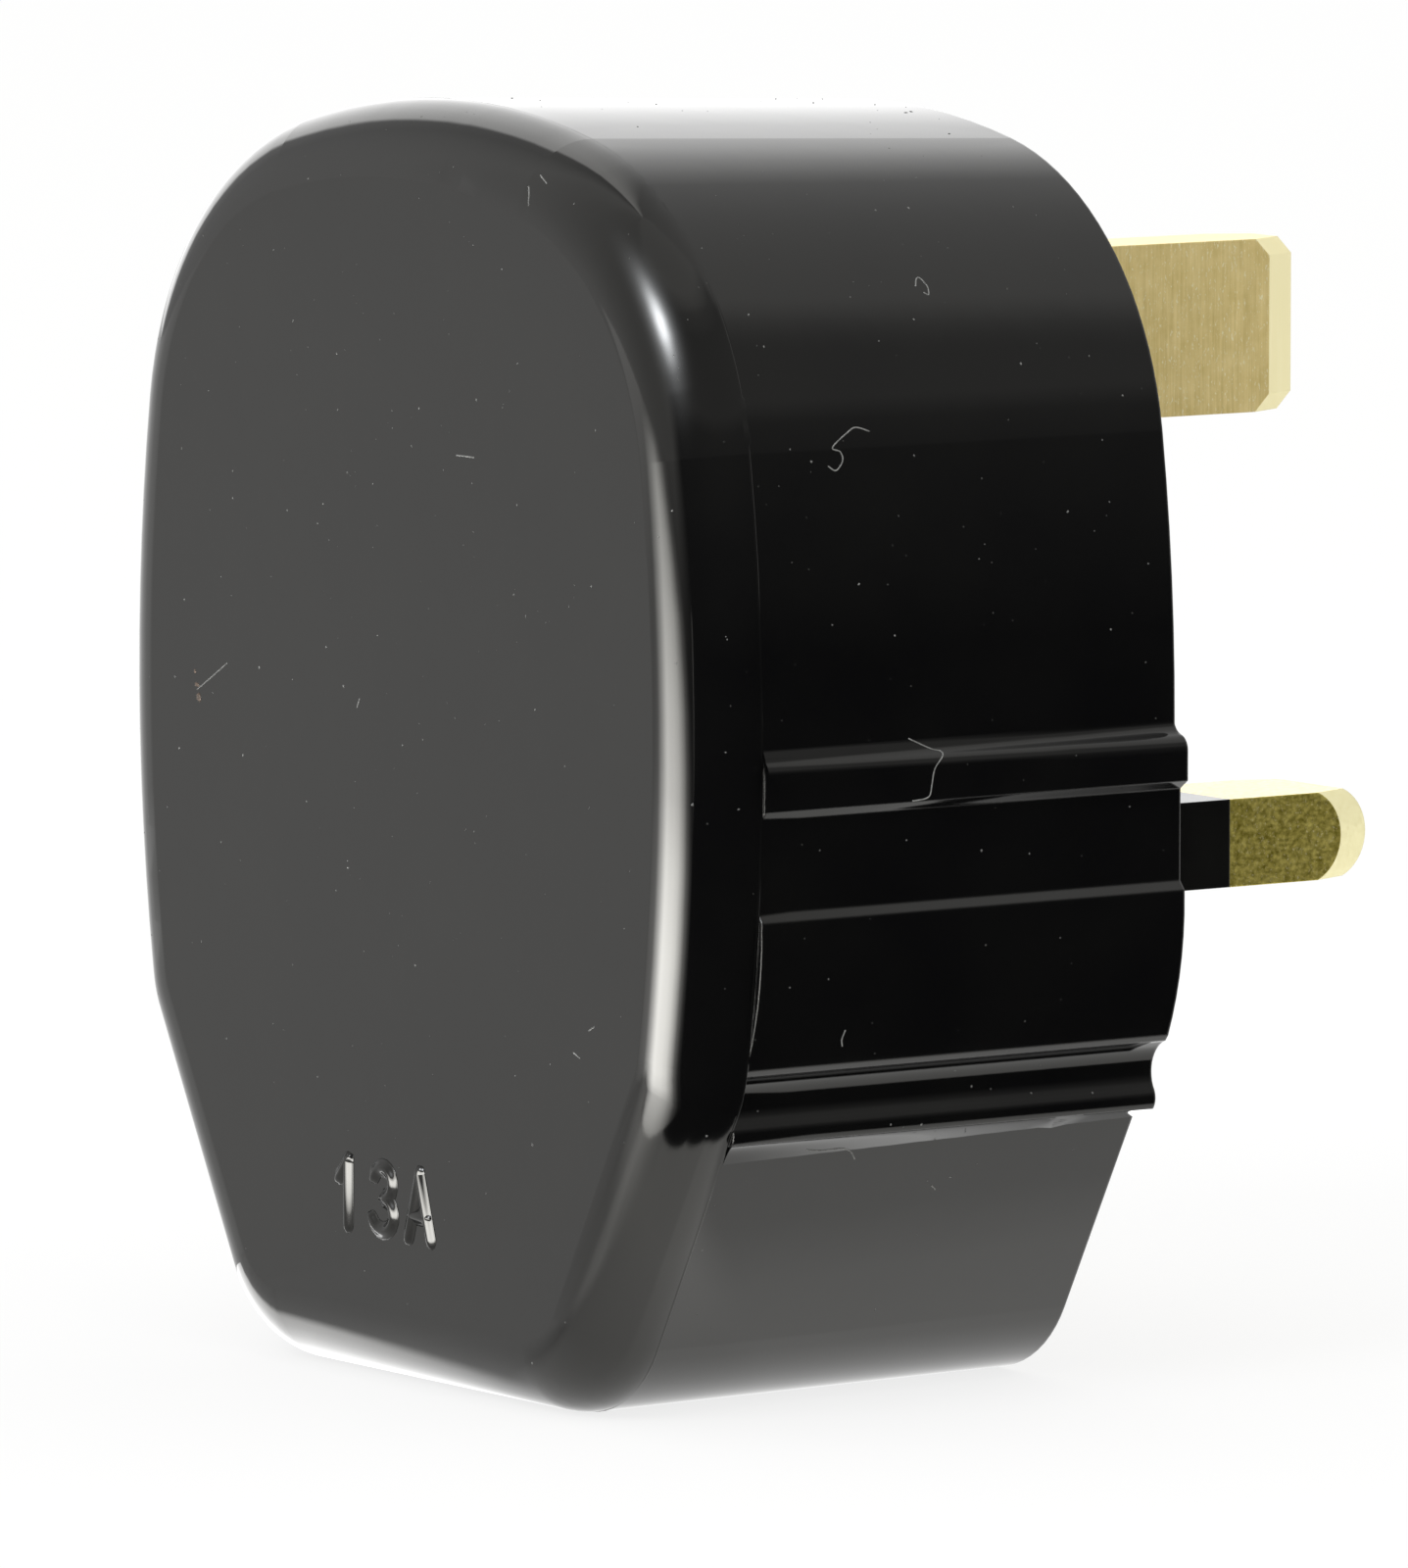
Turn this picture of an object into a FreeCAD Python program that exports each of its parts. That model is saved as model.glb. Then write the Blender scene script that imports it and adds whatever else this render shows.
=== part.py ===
import FreeCAD, Part
import math
import os
import re
import Sketcher
from FreeCAD import Placement, Rotation, Vector

# A fused three pin plug, in millimetres.
# The origin lies on the pin face, midway between the line and neutral pins.
# +Y runs out along the pins, +Z up to the earth pin, and the line pin is at +X.

SIZES = {
    # Moulded cover, measured at the parting line near its back
    "body_depth": 26.4,
    "edge_radius": 3.4,
    "parting_land": 0.1,
    "top_height": 34.1,
    "crown_radius": 46.5,
    "shoulder_radius": 15.9,
    "side_radius": 85.3,
    "half_width": 23.6,
    "widest_height": 6.8,
    "waist_radius": 6.0,
    "flank_angle": 29.0,
    "flank_reach": 23.5,
    "foot_depth": 23.7,
    "corner_radius": 6.5,
    "wall_draft": 0.85,
    "wall": 2.6,
    "back_wall": 3.0,
    "rim_wall": 1.6,
    # Side grips of the cover: what stands proud of the rim's widest point, or lies sunk from it
    "bar_start": 7.0,
    "bar_crest": 5.6,
    "bar_base": 4.28,
    "bar_proud": 1.0,
    "bar_blend": 0.15,
    "bar_fade": 0.03,
    "bar_bite": 0.05,
    "flat_proud": 0.45,
    "ledge_fade": 0.1,
    "step_fade": 0.35,
    "step_bevel": 0.4,
    "step_drop": 0.22,
    "palm_proud": 0.79,
    "palm_crown": 0.36,
    "palm_sunk": 0.4,
    "palm_drop": 7.25,
    "groove_sunk": 0.6,
    "groove_drop": 7.5,
    "groove_depth": 0.52,
    "bead_sunk": 1.5,
    "bead_drop": 9.66,
    "bead_crown": 0.17,
    "bead_height": 1.0,
    "grip_root": 5.9,
    # Base plate
    "base_thickness": 4.0,
    "base_clearance": 0.15,
    "barrier_reach": 5.2,
    "barrier_wall": 1.2,
    "barrier_height": 8.0,
    "barrier_top": 15.0,
    "barrier_drop": 8.0,
    # Cord entry in the foot
    "entry_radius": 4.5,
    "entry_centre": 8.0,
    "lug_half_width": 6.5,
    "lug_recess": 0.15,
    # Pins, to the standard's nominal sizes
    "pin_spacing": 22.23,
    "earth_height": 22.23,
    "pin_width": 6.35,
    "pin_thickness": 4.0,
    "pin_length": 17.7,
    "pin_nose_length": 1.3,
    "pin_bevel_side": 0.8,
    "pin_bevel_length": 2.0,
    "earth_width": 4.0,
    "earth_thickness": 8.0,
    "earth_length": 22.73,
    "earth_corner": 0.8,
    "earth_bevel_side": 1.0,
    "earth_bevel_length": 2.0,
    "pin_clearance": 0.1,
    "sleeve_wall": 0.5,
    "sleeve_length": 9.4,
    "sleeve_root": 3.0,
    "sleeve_clearance": 0.05,
    # Terminals
    "block_width": 9.0,
    "block_height": 9.0,
    "earth_block_width": 8.0,
    "wire_radius": 1.3,
    "wire_height": 5.0,
    "clamp_radius": 1.5,
    "clamp_length": 4.6,
    "clamp_clearance": 0.05,
    "clamp_head_radius": 2.6,
    "clamp_head_height": 1.8,
    "slot_width": 0.8,
    "slot_depth": 0.9,
    "line_block_clearance": 1.0,
    "line_block_length": 7.0,
    "line_block_gap": 0.65,
    "line_block_height": 9.0,
    "line_block_foot": 9.0,
    "line_clamp_wall": 0.55,
    "line_clamp_overhang": 0.5,
    "line_wire_wall": 0.8,
    "line_stub_wall": 0.9,
    "line_stub_length": 2.0,
    # Line pin's inner head, and the fuse in its clips
    "head_width": 8.0,
    "head_depth": 6.0,
    "head_height": 1.5,
    "spigot_width": 3.0,
    "spigot_depth": 2.0,
    "spigot_rise": 0.3,
    "strip": 0.6,
    "clip_gap": 0.7,
    "clip_length": 5.0,
    "clip_clearance": 0.05,
    "clip_mouth": 2.2,
    "fuse_length": 25.4,
    "cap_radius": 3.2,
    "cap_length": 5.5,
    "cap_end": 0.4,
    "cap_wall": 0.2,
    "tube_bore": 2.2,
    "fuse_clearance": 0.02,
    "fuse_wire_radius": 0.3,
    # Cover screw, its bush and its retaining washer
    "screw_height": 8.5,
    "screw_radius": 1.95,
    "screw_clearance": 0.15,
    "screw_head_radius": 3.4,
    "screw_head_height": 2.3,
    "screw_sink": 0.4,
    "screw_reach": 16.0,
    "pillar_radius": 4.0,
    "pillar_height": 3.5,
    "retainer_radius": 3.4,
    "retainer_height": 0.8,
    "retainer_grip": 0.05,
    "post_radius": 4.6,
    "post_gap": 0.3,
    "bush_radius": 3.0,
    "bush_length": 8.5,
    "bush_clearance": 0.05,
    # Cord grip
    "grip_gap": 2.0,
    "grip_spacing": 16.0,
    "grip_pillar_radius": 3.0,
    "grip_pillar_height": 6.0,
    "grip_bar_width": 6.0,
    "grip_bar_thickness": 3.0,
    "grip_arch_radius": 9.0,
    "grip_arch_rise": 1.2,
    "grip_screw_radius": 1.4,
    "grip_screw_length": 7.5,
    "grip_head_radius": 2.6,
    "grip_head_height": 1.6,
    "grip_clearance": 0.1,
}

doc = FreeCAD.newDocument("Plug")
sizes = doc.addObject("Spreadsheet::Sheet", "Sizes")
for row, (alias, value) in enumerate(SIZES.items(), start=1):
    sizes.set(f"A{row}", alias.replace("_", " "))
    sizes.set(f"B{row}", str(value))
    sizes.setAlias(f"B{row}", alias)
doc.recompute()

ALONG_Y = Rotation(Vector(1, 0, 0), -90)
ALONG_Z = Rotation()
nodes = []


def bind(thing, prop, text):
    """Tie a property to the sheet; text names its cells by their aliases."""

    def cell(found):
        word = found.group()
        return f"Sizes.{word}" if word in SIZES else word

    thing.setExpression(prop, re.sub(r"[a-z_]+", cell, text))


def number(text):
    """The value of a sum such as 'half_width - wall', for a sketch's first drawing."""
    total = 0.0
    sign = 1.0
    for word in text.replace("-", "- ").split():
        if word in "+-":
            sign = 1.0 if word == "+" else -1.0
            continue
        name, _, share = word.partition("/")
        value = getattr(sizes, name) if name in SIZES else float(name)
        total += sign * value / float(share or 1)
    return total


def node(thing, label):
    """Name a finished piece, which names its file too."""
    thing.Label = label
    nodes.append(thing)
    return thing


def place(thing, x, y, z):
    for axis, text in zip("xyz", (x, y, z)):
        bind(thing, f"Placement.Base.{axis}", text)


def span(low, high):
    return f"({high}) - ({low})"


def set_box(thing, x, y, z):
    """Size and place a box by its low and high ends along each axis."""
    for prop, (low, high) in zip(("Length", "Width", "Height"), (x, y, z)):
        bind(thing, prop, span(low, high))
    place(thing, x[0], y[0], z[0])
    return thing


def set_rod(thing, turn, radius, centre, ends):
    """Size and place a cylinder along Y or Z: centre holds its two other coordinates."""
    thing.Placement = Placement(Vector(), turn)
    bind(thing, "Radius", radius)
    bind(thing, "Height", span(*ends))
    if turn is ALONG_Y:
        place(thing, centre[0], ends[0], centre[1])
    else:
        place(thing, centre[0], centre[1], ends[0])
    return thing


def box(name, x, y, z):
    return set_box(doc.addObject("Part::Box", name), x, y, z)


def rod(name, turn, radius, centre, ends):
    return set_rod(doc.addObject("Part::Cylinder", name), turn, radius, centre, ends)


def fuse(name, pieces):
    joined = doc.addObject("Part::MultiFuse", name)
    joined.Shapes = pieces
    return joined


def cut(name, piece, tools):
    left = doc.addObject("Part::Cut", name)
    left.Base = piece
    left.Tool = tools[0] if len(tools) == 1 else fuse(name + "Tools", tools)
    return left


def new_body(name):
    return doc.addObject("PartDesign::Body", name)


def body_box(body, verb, name, x, y, z):
    return set_box(body.newObject(f"PartDesign::{verb}Box", name), x, y, z)


def body_rod(body, verb, name, turn, radius, centre, ends):
    return set_rod(body.newObject(f"PartDesign::{verb}Cylinder", name), turn, radius, centre, ends)


def origin_plane(body, role):
    return [each for each in body.Origin.OriginFeatures if each.Role == role][0]


def new_sketch(body, name, plane, offset):
    """A sketch on one of the body's origin planes, moved along its normal."""
    sketch = body.newObject("Sketcher::SketchObject", name)
    sketch.AttachmentSupport = [(origin_plane(body, plane), "")]
    sketch.MapMode = "FlatFace"
    bind(sketch, "AttachmentOffset.Base.z", offset)
    return sketch


def measure(sketch, kind, places, value, text):
    """Add one driving dimension and tie it to the sheet."""
    index = sketch.addConstraint(Sketcher.Constraint(kind, *places, value))
    bind(sketch, f"Constraints[{index}]", text)


def arc(centre, radius, start, end):
    circle = Part.Circle(centre, Vector(0, 0, 1), radius)
    return Part.ArcOfCircle(circle, math.radians(start), math.radians(end))


def bearing(start, end):
    return math.degrees(math.atan2(end.y - start.y, end.x - start.x))


def outline(sketch, inset, foot_inset):
    """The plug's outline seen along the pins, drawn inset from the back edge's own.

    A crown, two shoulders and two sides run tangent, a waist arc leads each side into a
    straight flank that tapers to the foot, and a corner arc leads each flank into it."""
    move = number(inset)
    foot = number(foot_inset) - sizes.foot_depth
    angle = sizes.flank_angle
    crown = Vector(0, sizes.top_height - sizes.crown_radius, 0)
    side = Vector(sizes.half_width - sizes.side_radius, sizes.widest_height, 0)
    # The shoulder's centre is a known distance from the other two
    to_crown = sizes.crown_radius - sizes.shoulder_radius
    to_side = sizes.side_radius - sizes.shoulder_radius
    apart = (crown - side).Length
    along = (apart ** 2 + to_side ** 2 - to_crown ** 2) / (2 * apart)
    across = math.sqrt(to_side ** 2 - along ** 2)
    way = (crown - side).normalize()
    shoulder = side + way * along + Vector(way.y, -way.x, 0) * across
    if shoulder.y < crown.y:
        shoulder = side + way * along + Vector(-way.y, way.x, 0) * across
    high = bearing(crown, shoulder)
    low = bearing(side, shoulder)
    side_radius = sizes.side_radius - move
    corner_radius = sizes.corner_radius - move
    # The flank lies at a set distance from the origin
    flank_normal = Vector(math.cos(math.radians(angle)), -math.sin(math.radians(angle)), 0)
    reach = sizes.flank_reach - move
    up_flank = Vector(-flank_normal.y, flank_normal.x, 0)
    to_waist = sizes.side_radius - sizes.waist_radius
    out = sizes.flank_reach - sizes.waist_radius - side.dot(flank_normal)
    waist = side + flank_normal * out + up_flank * math.sqrt(to_waist ** 2 - out ** 2)
    turn = bearing(side, waist)
    waist_radius = sizes.waist_radius - move
    corner_height = foot + corner_radius
    corner_across = (reach - corner_radius - corner_height * flank_normal.y) / flank_normal.x
    corner = Vector(corner_across, corner_height, 0)

    def other(point):
        return Vector(-point.x, point.y, 0)

    hip = waist + flank_normal * waist_radius
    heel = corner + flank_normal * corner_radius
    toe = Vector(corner.x, foot, 0)
    shoulder_radius = sizes.shoulder_radius - move
    sketch.addGeometry([
        arc(crown, sizes.crown_radius - move, high, 180 - high),
        arc(shoulder, shoulder_radius, low, high),
        arc(side, side_radius, turn, low),
        arc(waist, waist_radius, -angle, turn),
        Part.LineSegment(heel, hip),
        arc(corner, corner_radius, -90, -angle),
        Part.LineSegment(toe, other(toe)),
        arc(other(corner), corner_radius, 180 + angle, 270),
        Part.LineSegment(other(heel), other(hip)),
        arc(other(waist), waist_radius, 180 - turn, 180 + angle),
        arc(other(side), side_radius, 180 - low, 180 - turn),
        arc(other(shoulder), shoulder_radius, 180 - high, 180 - low),
    ], False)
    crown_arc, right_shoulder, right_side, right_waist, right_flank, right_corner = range(6)
    foot_line, left_corner, left_flank, left_waist, left_side, left_shoulder = range(6, 12)
    first, last, middle = 1, 2, 3
    origin = (-1, 1)
    for joint in (
        (crown_arc, first, right_shoulder, last),
        (right_shoulder, first, right_side, last),
        (right_side, first, right_waist, last),
        (right_waist, first, right_flank, last),
        (right_flank, first, right_corner, last),
        (right_corner, first, foot_line, first),
        (foot_line, last, left_corner, last),
        (left_corner, first, left_flank, first),
        (left_flank, last, left_waist, last),
        (left_waist, first, left_side, last),
        (left_side, first, left_shoulder, last),
        (left_shoulder, first, crown_arc, last),
    ):
        sketch.addConstraint(Sketcher.Constraint("Tangent", *joint))
    sketch.addConstraint(Sketcher.Constraint("PointOnObject", crown_arc, middle, -2))
    sketch.addConstraint(Sketcher.Constraint("Symmetric", right_side, middle, left_side, middle, -2))
    sketch.addConstraint(Sketcher.Constraint("Horizontal", foot_line))
    for right, left in (
        (right_shoulder, left_shoulder),
        (right_side, left_side),
        (right_waist, left_waist),
        (right_corner, left_corner),
    ):
        sketch.addConstraint(Sketcher.Constraint("Equal", right, left))
    measure(sketch, "DistanceY", (*origin, crown_arc, middle), crown.y, "top_height - crown_radius")
    measure(sketch, "DistanceX", (*origin, right_side, middle), side.x, "half_width - side_radius")
    measure(sketch, "DistanceY", (*origin, right_side, middle), side.y, "widest_height")
    measure(sketch, "DistanceY", (*origin, foot_line, first), foot, f"({foot_inset}) - foot_depth")
    for piece, name in (
        (crown_arc, "crown_radius"),
        (right_shoulder, "shoulder_radius"),
        (right_side, "side_radius"),
        (right_waist, "waist_radius"),
        (right_corner, "corner_radius"),
    ):
        measure(sketch, "Radius", (piece,), getattr(sizes, name) - move, f"{name} - ({inset})")
    for flank in (right_flank, left_flank):
        measure(sketch, "Distance", (*origin, flank), reach, f"flank_reach - ({inset})")
    upright = math.radians(90)
    tilt = math.radians(angle)
    measure(sketch, "Angle", (right_flank,), upright - tilt, "(90 - flank_angle) * 1 deg")
    measure(sketch, "Angle", (left_flank,), upright + tilt, "(90 + flank_angle) * 1 deg")
    return sketch


def profile(sketch, corners, bends):
    """A closed profile through named corners. Bends arcs the stretch after a corner by its rise
    from the chord; its centre lies to the left of the way along for 1, to the right for -1."""
    points = [Vector(number(across), number(up), 0) for across, up in corners]
    ends = []
    for index, start in enumerate(points):
        end = points[(index + 1) % len(points)]
        if index not in bends:
            sketch.addGeometry(Part.LineSegment(start, end), False)
            ends.append((1, 2))
            continue
        rise, hand = number(bends[index][0]), bends[index][1]
        chord = end - start
        radius = chord.Length ** 2 / (8 * rise) + rise / 2
        left = Vector(-chord.y, chord.x, 0).normalize()
        centre = start + chord * 0.5 + left * ((radius - rise) * hand)
        turns = (bearing(centre, start), bearing(centre, end))
        low, high = turns if hand > 0 else (turns[1], turns[0])
        sketch.addGeometry(arc(centre, radius, low, high if high > low else high + 360), False)
        ends.append((1, 2) if hand > 0 else (2, 1))
    for index, (start, _) in enumerate(ends):
        before = index - 1 if index else len(ends) - 1
        sketch.addConstraint(Sketcher.Constraint("Coincident", before, ends[before][1], index, start))
        across, up = corners[index]
        measure(sketch, "DistanceX", (-1, 1, index, start), points[index].x, across)
        measure(sketch, "DistanceY", (-1, 1, index, start), points[index].y, up)
        if index in bends:
            rise = bends[index][0]
            next_across, next_up = corners[(index + 1) % len(corners)]
            chord_squared = f"((({next_across}) - ({across}))^2 + (({next_up}) - ({up}))^2)"
            radius = sketch.Geometry[index].Radius
            measure(sketch, "Radius", (index,), radius, f"{chord_squared} / (8 * {rise}) + {rise} / 2")
    return sketch


def loft(body, name, sketches):
    solid = body.newObject("PartDesign::AdditiveLoft", name)
    solid.Profile = sketches[0]
    solid.Sections = sketches[1:]
    solid.Ruled = True
    return solid


def pad(body, name, sketch, length):
    solid = body.newObject("PartDesign::Pad", name)
    solid.Profile = sketch
    bind(solid, "Length", length)
    return solid


def pocket(body, name, sketch, length):
    """Cut from a sketch along its normal, into the plug."""
    hollow = body.newObject("PartDesign::Pocket", name)
    hollow.Profile = sketch
    hollow.Reversed = True
    bind(hollow, "Length", length)
    return hollow


def mirror(body, name, feature):
    """The same feature on the other side of the plug's middle plane."""
    mirrored = body.newObject("PartDesign::Mirrored", name)
    mirrored.Originals = [feature]
    mirrored.MirrorPlane = (origin_plane(body, "YZ_Plane"), [""])
    body.Tip = mirrored


def numbered(kind, pieces):
    """Faces or edges with the names that a feature knows them by."""
    return [(f"{kind}{index}", piece) for index, piece in enumerate(pieces, start=1)]


def faces_y(face):
    return isinstance(face.Surface, Part.Plane) and abs(face.normalAt(0, 0).y) > 0.999


def add_fillet(body, name, feature, picked, radius):
    fillet = body.newObject("PartDesign::Fillet", name)
    fillet.Base = (feature, picked)
    bind(fillet, "Radius", radius)
    return fillet


def round_face(body, name, feature, depth, radius):
    """Round every edge of the flat face that lies at this depth behind the pin face."""
    doc.recompute()
    picked = [
        label for label, face in numbered("Face", feature.Shape.Faces)
        if faces_y(face) and abs(face.CenterOfMass.y + depth) < 1e-3
    ]
    return add_fillet(body, name, feature, picked, radius)


def round_foot(body, name, feature, radius):
    """Round the two edges where the flanks meet the foot."""
    doc.recompute()
    picked = [
        label for label, edge in numbered("Edge", feature.Shape.Edges)
        if abs(edge.BoundBox.ZMax + sizes.foot_depth) < 1e-3 and edge.BoundBox.YLength > sizes.body_depth / 2
    ]
    return add_fillet(body, name, feature, picked, radius)


# Places that several pieces share
LINE = "pin_spacing/2"
NEUTRAL = "-pin_spacing/2"
INNER = "-base_thickness"
BACK = "back_wall - body_depth"
FUSE_AXIS = f"{INNER} - head_height - strip - clip_gap - cap_radius"
FUSE_LOW = "-cap_length/2"
FUSE_HIGH = "fuse_length - cap_length/2"
POST_END = f"{INNER} - pillar_height - retainer_height - post_gap"
PARTING = "body_depth - edge_radius - parting_land"
RIM = "half_width - wall_draft"
GRIP_END = "-bead_drop - bead_height - step_bevel"
LOWER_GRIP = (
    (f"{RIM} - bead_sunk", "-bead_drop - bead_height"),
    (f"{RIM} - bead_sunk", "-bead_drop"),
    (f"{RIM} - groove_sunk", "-groove_drop"),
    (f"{RIM} - palm_sunk", "-palm_drop"),
    (f"{RIM} + palm_proud", "-step_drop - step_bevel"),
)
BLOCK_SIDE = f"{LINE} + cap_radius + line_block_gap"
BLOCK_OUTER = f"{RIM} - wall - line_block_clearance"
BLOCK_HALF = f"({BLOCK_OUTER} - ({BLOCK_SIDE}))/2"
BLOCK_MIDDLE = f"{BLOCK_SIDE} + {BLOCK_HALF}"
PIN_RADII = ("wire_radius", "clamp_radius")
LINE_RADII = (f"{BLOCK_HALF} - line_wire_wall", f"{BLOCK_HALF} - line_clamp_wall")
STUB_RADIUS = f"{BLOCK_HALF} - line_stub_wall"
GRIP_LINE = "wall + grip_gap + grip_bar_width/2 - foot_depth"


def upper_grip(body, name, offset, wall, middle, rise, ledge_top, ledge_end):
    """The bar, the ledge under it and the step to the palm, in section at one depth."""
    return profile(
        new_sketch(body, name, "XZ_Plane", offset),
        [
            (f"{RIM} - grip_root", "bar_start"),
            (f"{RIM} - grip_root", "-step_drop - step_bevel"),
            LOWER_GRIP[-1],
            (ledge_end, "-step_drop"),
            (ledge_top, "bar_base - step_bevel"),
            (f"{RIM} + bar_proud", "bar_base"),
            (f"{RIM} + bar_proud", "bar_crest"),
            (middle, "bar_crest/2 + bar_start/2"),
            (wall, "bar_start"),
        ],
        {6: (rise, 1), 7: (rise, -1)},
    )


def make_cover():
    body = new_body("Cover")
    # The outline is drawn past the foot, so that the flanks are whole where the foot is cut
    rim = outline(new_sketch(body, "RimOutline", "XZ_Plane", "0"), "wall_draft", "-corner_radius")
    block = pad(body, "Block", rim, "body_depth")
    doc.recompute()
    drafted = body.newObject("PartDesign::Draft", "DraftedWall")
    drafted.Base = (block, [name for name, face in numbered("Face", block.Shape.Faces) if not faces_y(face)])
    drafted.NeutralPlane = (origin_plane(body, "XZ_Plane"), [""])
    drafted.Reversed = True
    bind(drafted, "Angle", f"atan(wall_draft / ({PARTING}))")
    # The draft takes its angle on this pass and its shape on the next
    doc.recompute()
    below = profile(
        new_sketch(body, "FootProfile", "XZ_Plane", "0"),
        [
            ("-half_width", "-foot_depth"),
            ("-half_width", "-foot_depth - corner_radius - wall"),
            ("half_width", "-foot_depth - corner_radius - wall"),
            ("half_width", "-foot_depth"),
        ],
        {},
    )
    foot = pocket(body, "Foot", below, "body_depth + wall")
    corners = round_foot(body, "FootCorners", foot, "corner_radius")
    round_face(body, "BackEdge", corners, sizes.body_depth, "edge_radius")
    grip = profile(
        new_sketch(body, "GripProfile", "XZ_Plane", "0"),
        [
            (f"{RIM} - grip_root", "-step_drop - step_bevel"),
            (f"{RIM} - grip_root", GRIP_END),
            LOWER_GRIP[0],
            (f"{RIM} + palm_proud", "-bead_drop - bead_height"),
            LOWER_GRIP[-1],
        ],
        {},
    )
    mirror(body, "LeftGrip", pad(body, "RightGrip", grip, PARTING))
    palm = profile(
        new_sketch(body, "PalmProfile", "XZ_Plane", "0"),
        [
            (f"{RIM} + grip_root", f"{GRIP_END} - wall"),
            (f"{RIM} - bead_sunk", f"{GRIP_END} - wall"),
            *LOWER_GRIP,
            (f"{RIM} + grip_root", "-step_drop - step_bevel"),
        ],
        {2: ("bead_crown", 1), 3: ("groove_depth", -1), 5: ("palm_crown", 1)},
    )
    mirror(body, "LeftPalm", pocket(body, "RightPalm", palm, PARTING))
    # The bar runs level while the wall draws out towards it, so its slopes are ruled between two sections
    ledge = f"{RIM} + flat_proud"
    half_rise = "bar_proud/2 - bar_bite/2"
    at_rim = upper_grip(body, "RimGrip", "0", f"{RIM} - bar_bite", f"{RIM} + {half_rise}", "bar_blend",
                        ledge, ledge)
    at_parting = upper_grip(body, "PartingGrip", PARTING, "half_width - bar_bite",
                            f"half_width - wall_draft/2 + {half_rise}", "bar_fade",
                            "half_width - ledge_fade", "half_width - step_fade")
    mirror(body, "LeftBar", loft(body, "RightBar", [at_rim, at_parting]))
    hollow = outline(new_sketch(body, "HollowOutline", "XZ_Plane", "0"), "wall_draft + wall", "wall")
    pocket(body, "Hollow", hollow, "body_depth - back_wall")
    mouth = outline(new_sketch(body, "MouthOutline", "XZ_Plane", "0"), "wall_draft + rim_wall", "rim_wall")
    pocket(body, "Mouth", mouth, "base_thickness")
    body_rod(body, "Additive", "Post", ALONG_Y, "post_radius", ("0", "screw_height"),
             (f"{BACK} - back_wall/2", POST_END))
    body_rod(body, "Subtractive", "BushHole", ALONG_Y, "bush_radius + bush_clearance", ("0", "screw_height"),
             (f"{POST_END} - bush_length - bush_clearance", POST_END))
    body_box(body, "Subtractive", "LugSlot", ("-lug_half_width", "lug_half_width"), ("-entry_centre", "wall"),
             ("-foot_depth - wall", "wall - foot_depth"))
    body_rod(body, "Subtractive", "CordEntry", ALONG_Z, "entry_radius", ("0", "-entry_centre"),
             ("-foot_depth - wall", "wall - foot_depth"))
    node(body, "cover")


def make_base():
    body = new_body("Base")
    edge = outline(
        new_sketch(body, "PlateOutline", "XZ_Plane", "0"),
        "wall_draft + rim_wall + base_clearance",
        "rim_wall + base_clearance",
    )
    pad(body, "Plate", edge, "base_thickness")
    lug = "lug_half_width - base_clearance"
    body_box(body, "Additive", "Lug", (f"-({lug})", lug), ("base_clearance - entry_centre", "0"),
             ("lug_recess - foot_depth", "wall - foot_depth"))
    for name, side in (("LeftBarrier", -1), ("RightBarrier", 1)):
        across = ("-barrier_reach - barrier_wall", "-barrier_reach")
        if side > 0:
            across = ("barrier_reach", "barrier_reach + barrier_wall")
        body_box(body, "Additive", name, across, (f"{INNER} - barrier_height", INNER),
                 ("-barrier_drop", "barrier_top"))
    body_rod(body, "Additive", "ScrewPillar", ALONG_Y, "pillar_radius", ("0", "screw_height"),
             (f"{INNER} - pillar_height", INNER))
    for name, across in (("LeftGripPillar", "-grip_spacing/2"), ("RightGripPillar", "grip_spacing/2")):
        body_rod(body, "Additive", name, ALONG_Y, "grip_pillar_radius", (across, GRIP_LINE),
                 (f"{INNER} - grip_pillar_height", INNER))
        body_rod(body, "Subtractive", name + "Hole", ALONG_Y, "grip_screw_radius + grip_clearance",
                 (across, GRIP_LINE),
                 (f"{INNER} - grip_pillar_height", f"{INNER} + base_thickness/2"))
    body_rod(body, "Subtractive", "CordEntry", ALONG_Z, "entry_radius", ("0", "-entry_centre"),
             ("-foot_depth - wall", "wall - foot_depth"))
    half_width = "pin_width/2 + pin_clearance"
    half_thickness = "pin_thickness/2 + pin_clearance"
    through = (f"{INNER} - wall", "wall")
    for name, across in (("LineHole", LINE), ("NeutralHole", NEUTRAL)):
        body_box(body, "Subtractive", name, (f"{across} - ({half_width})", f"{across} + {half_width}"),
                 through, (f"-({half_thickness})", half_thickness))
    earth_half = "earth_thickness/2 + pin_clearance"
    body_box(body, "Subtractive", "EarthHole",
             ("-earth_width/2 - pin_clearance", "earth_width/2 + pin_clearance"), through,
             (f"earth_height - ({earth_half})", f"earth_height + {earth_half}"))
    body_rod(body, "Subtractive", "ScrewHole", ALONG_Y, "screw_radius + screw_clearance",
             ("0", "screw_height"), (f"{INNER} - pillar_height - wall", "wall"))
    body_rod(body, "Subtractive", "ScrewSink", ALONG_Y, "screw_head_radius + screw_clearance",
             ("0", "screw_height"), ("-screw_sink - screw_head_height", "wall"))
    body_rod(body, "Subtractive", "LineStubHole", ALONG_Y, f"{STUB_RADIUS} + pin_clearance",
             (BLOCK_MIDDLE, "line_block_foot + line_block_length/2"),
             (f"{INNER} - wall", f"{INNER} + line_stub_length + pin_clearance"))
    node(body, "base")


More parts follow.
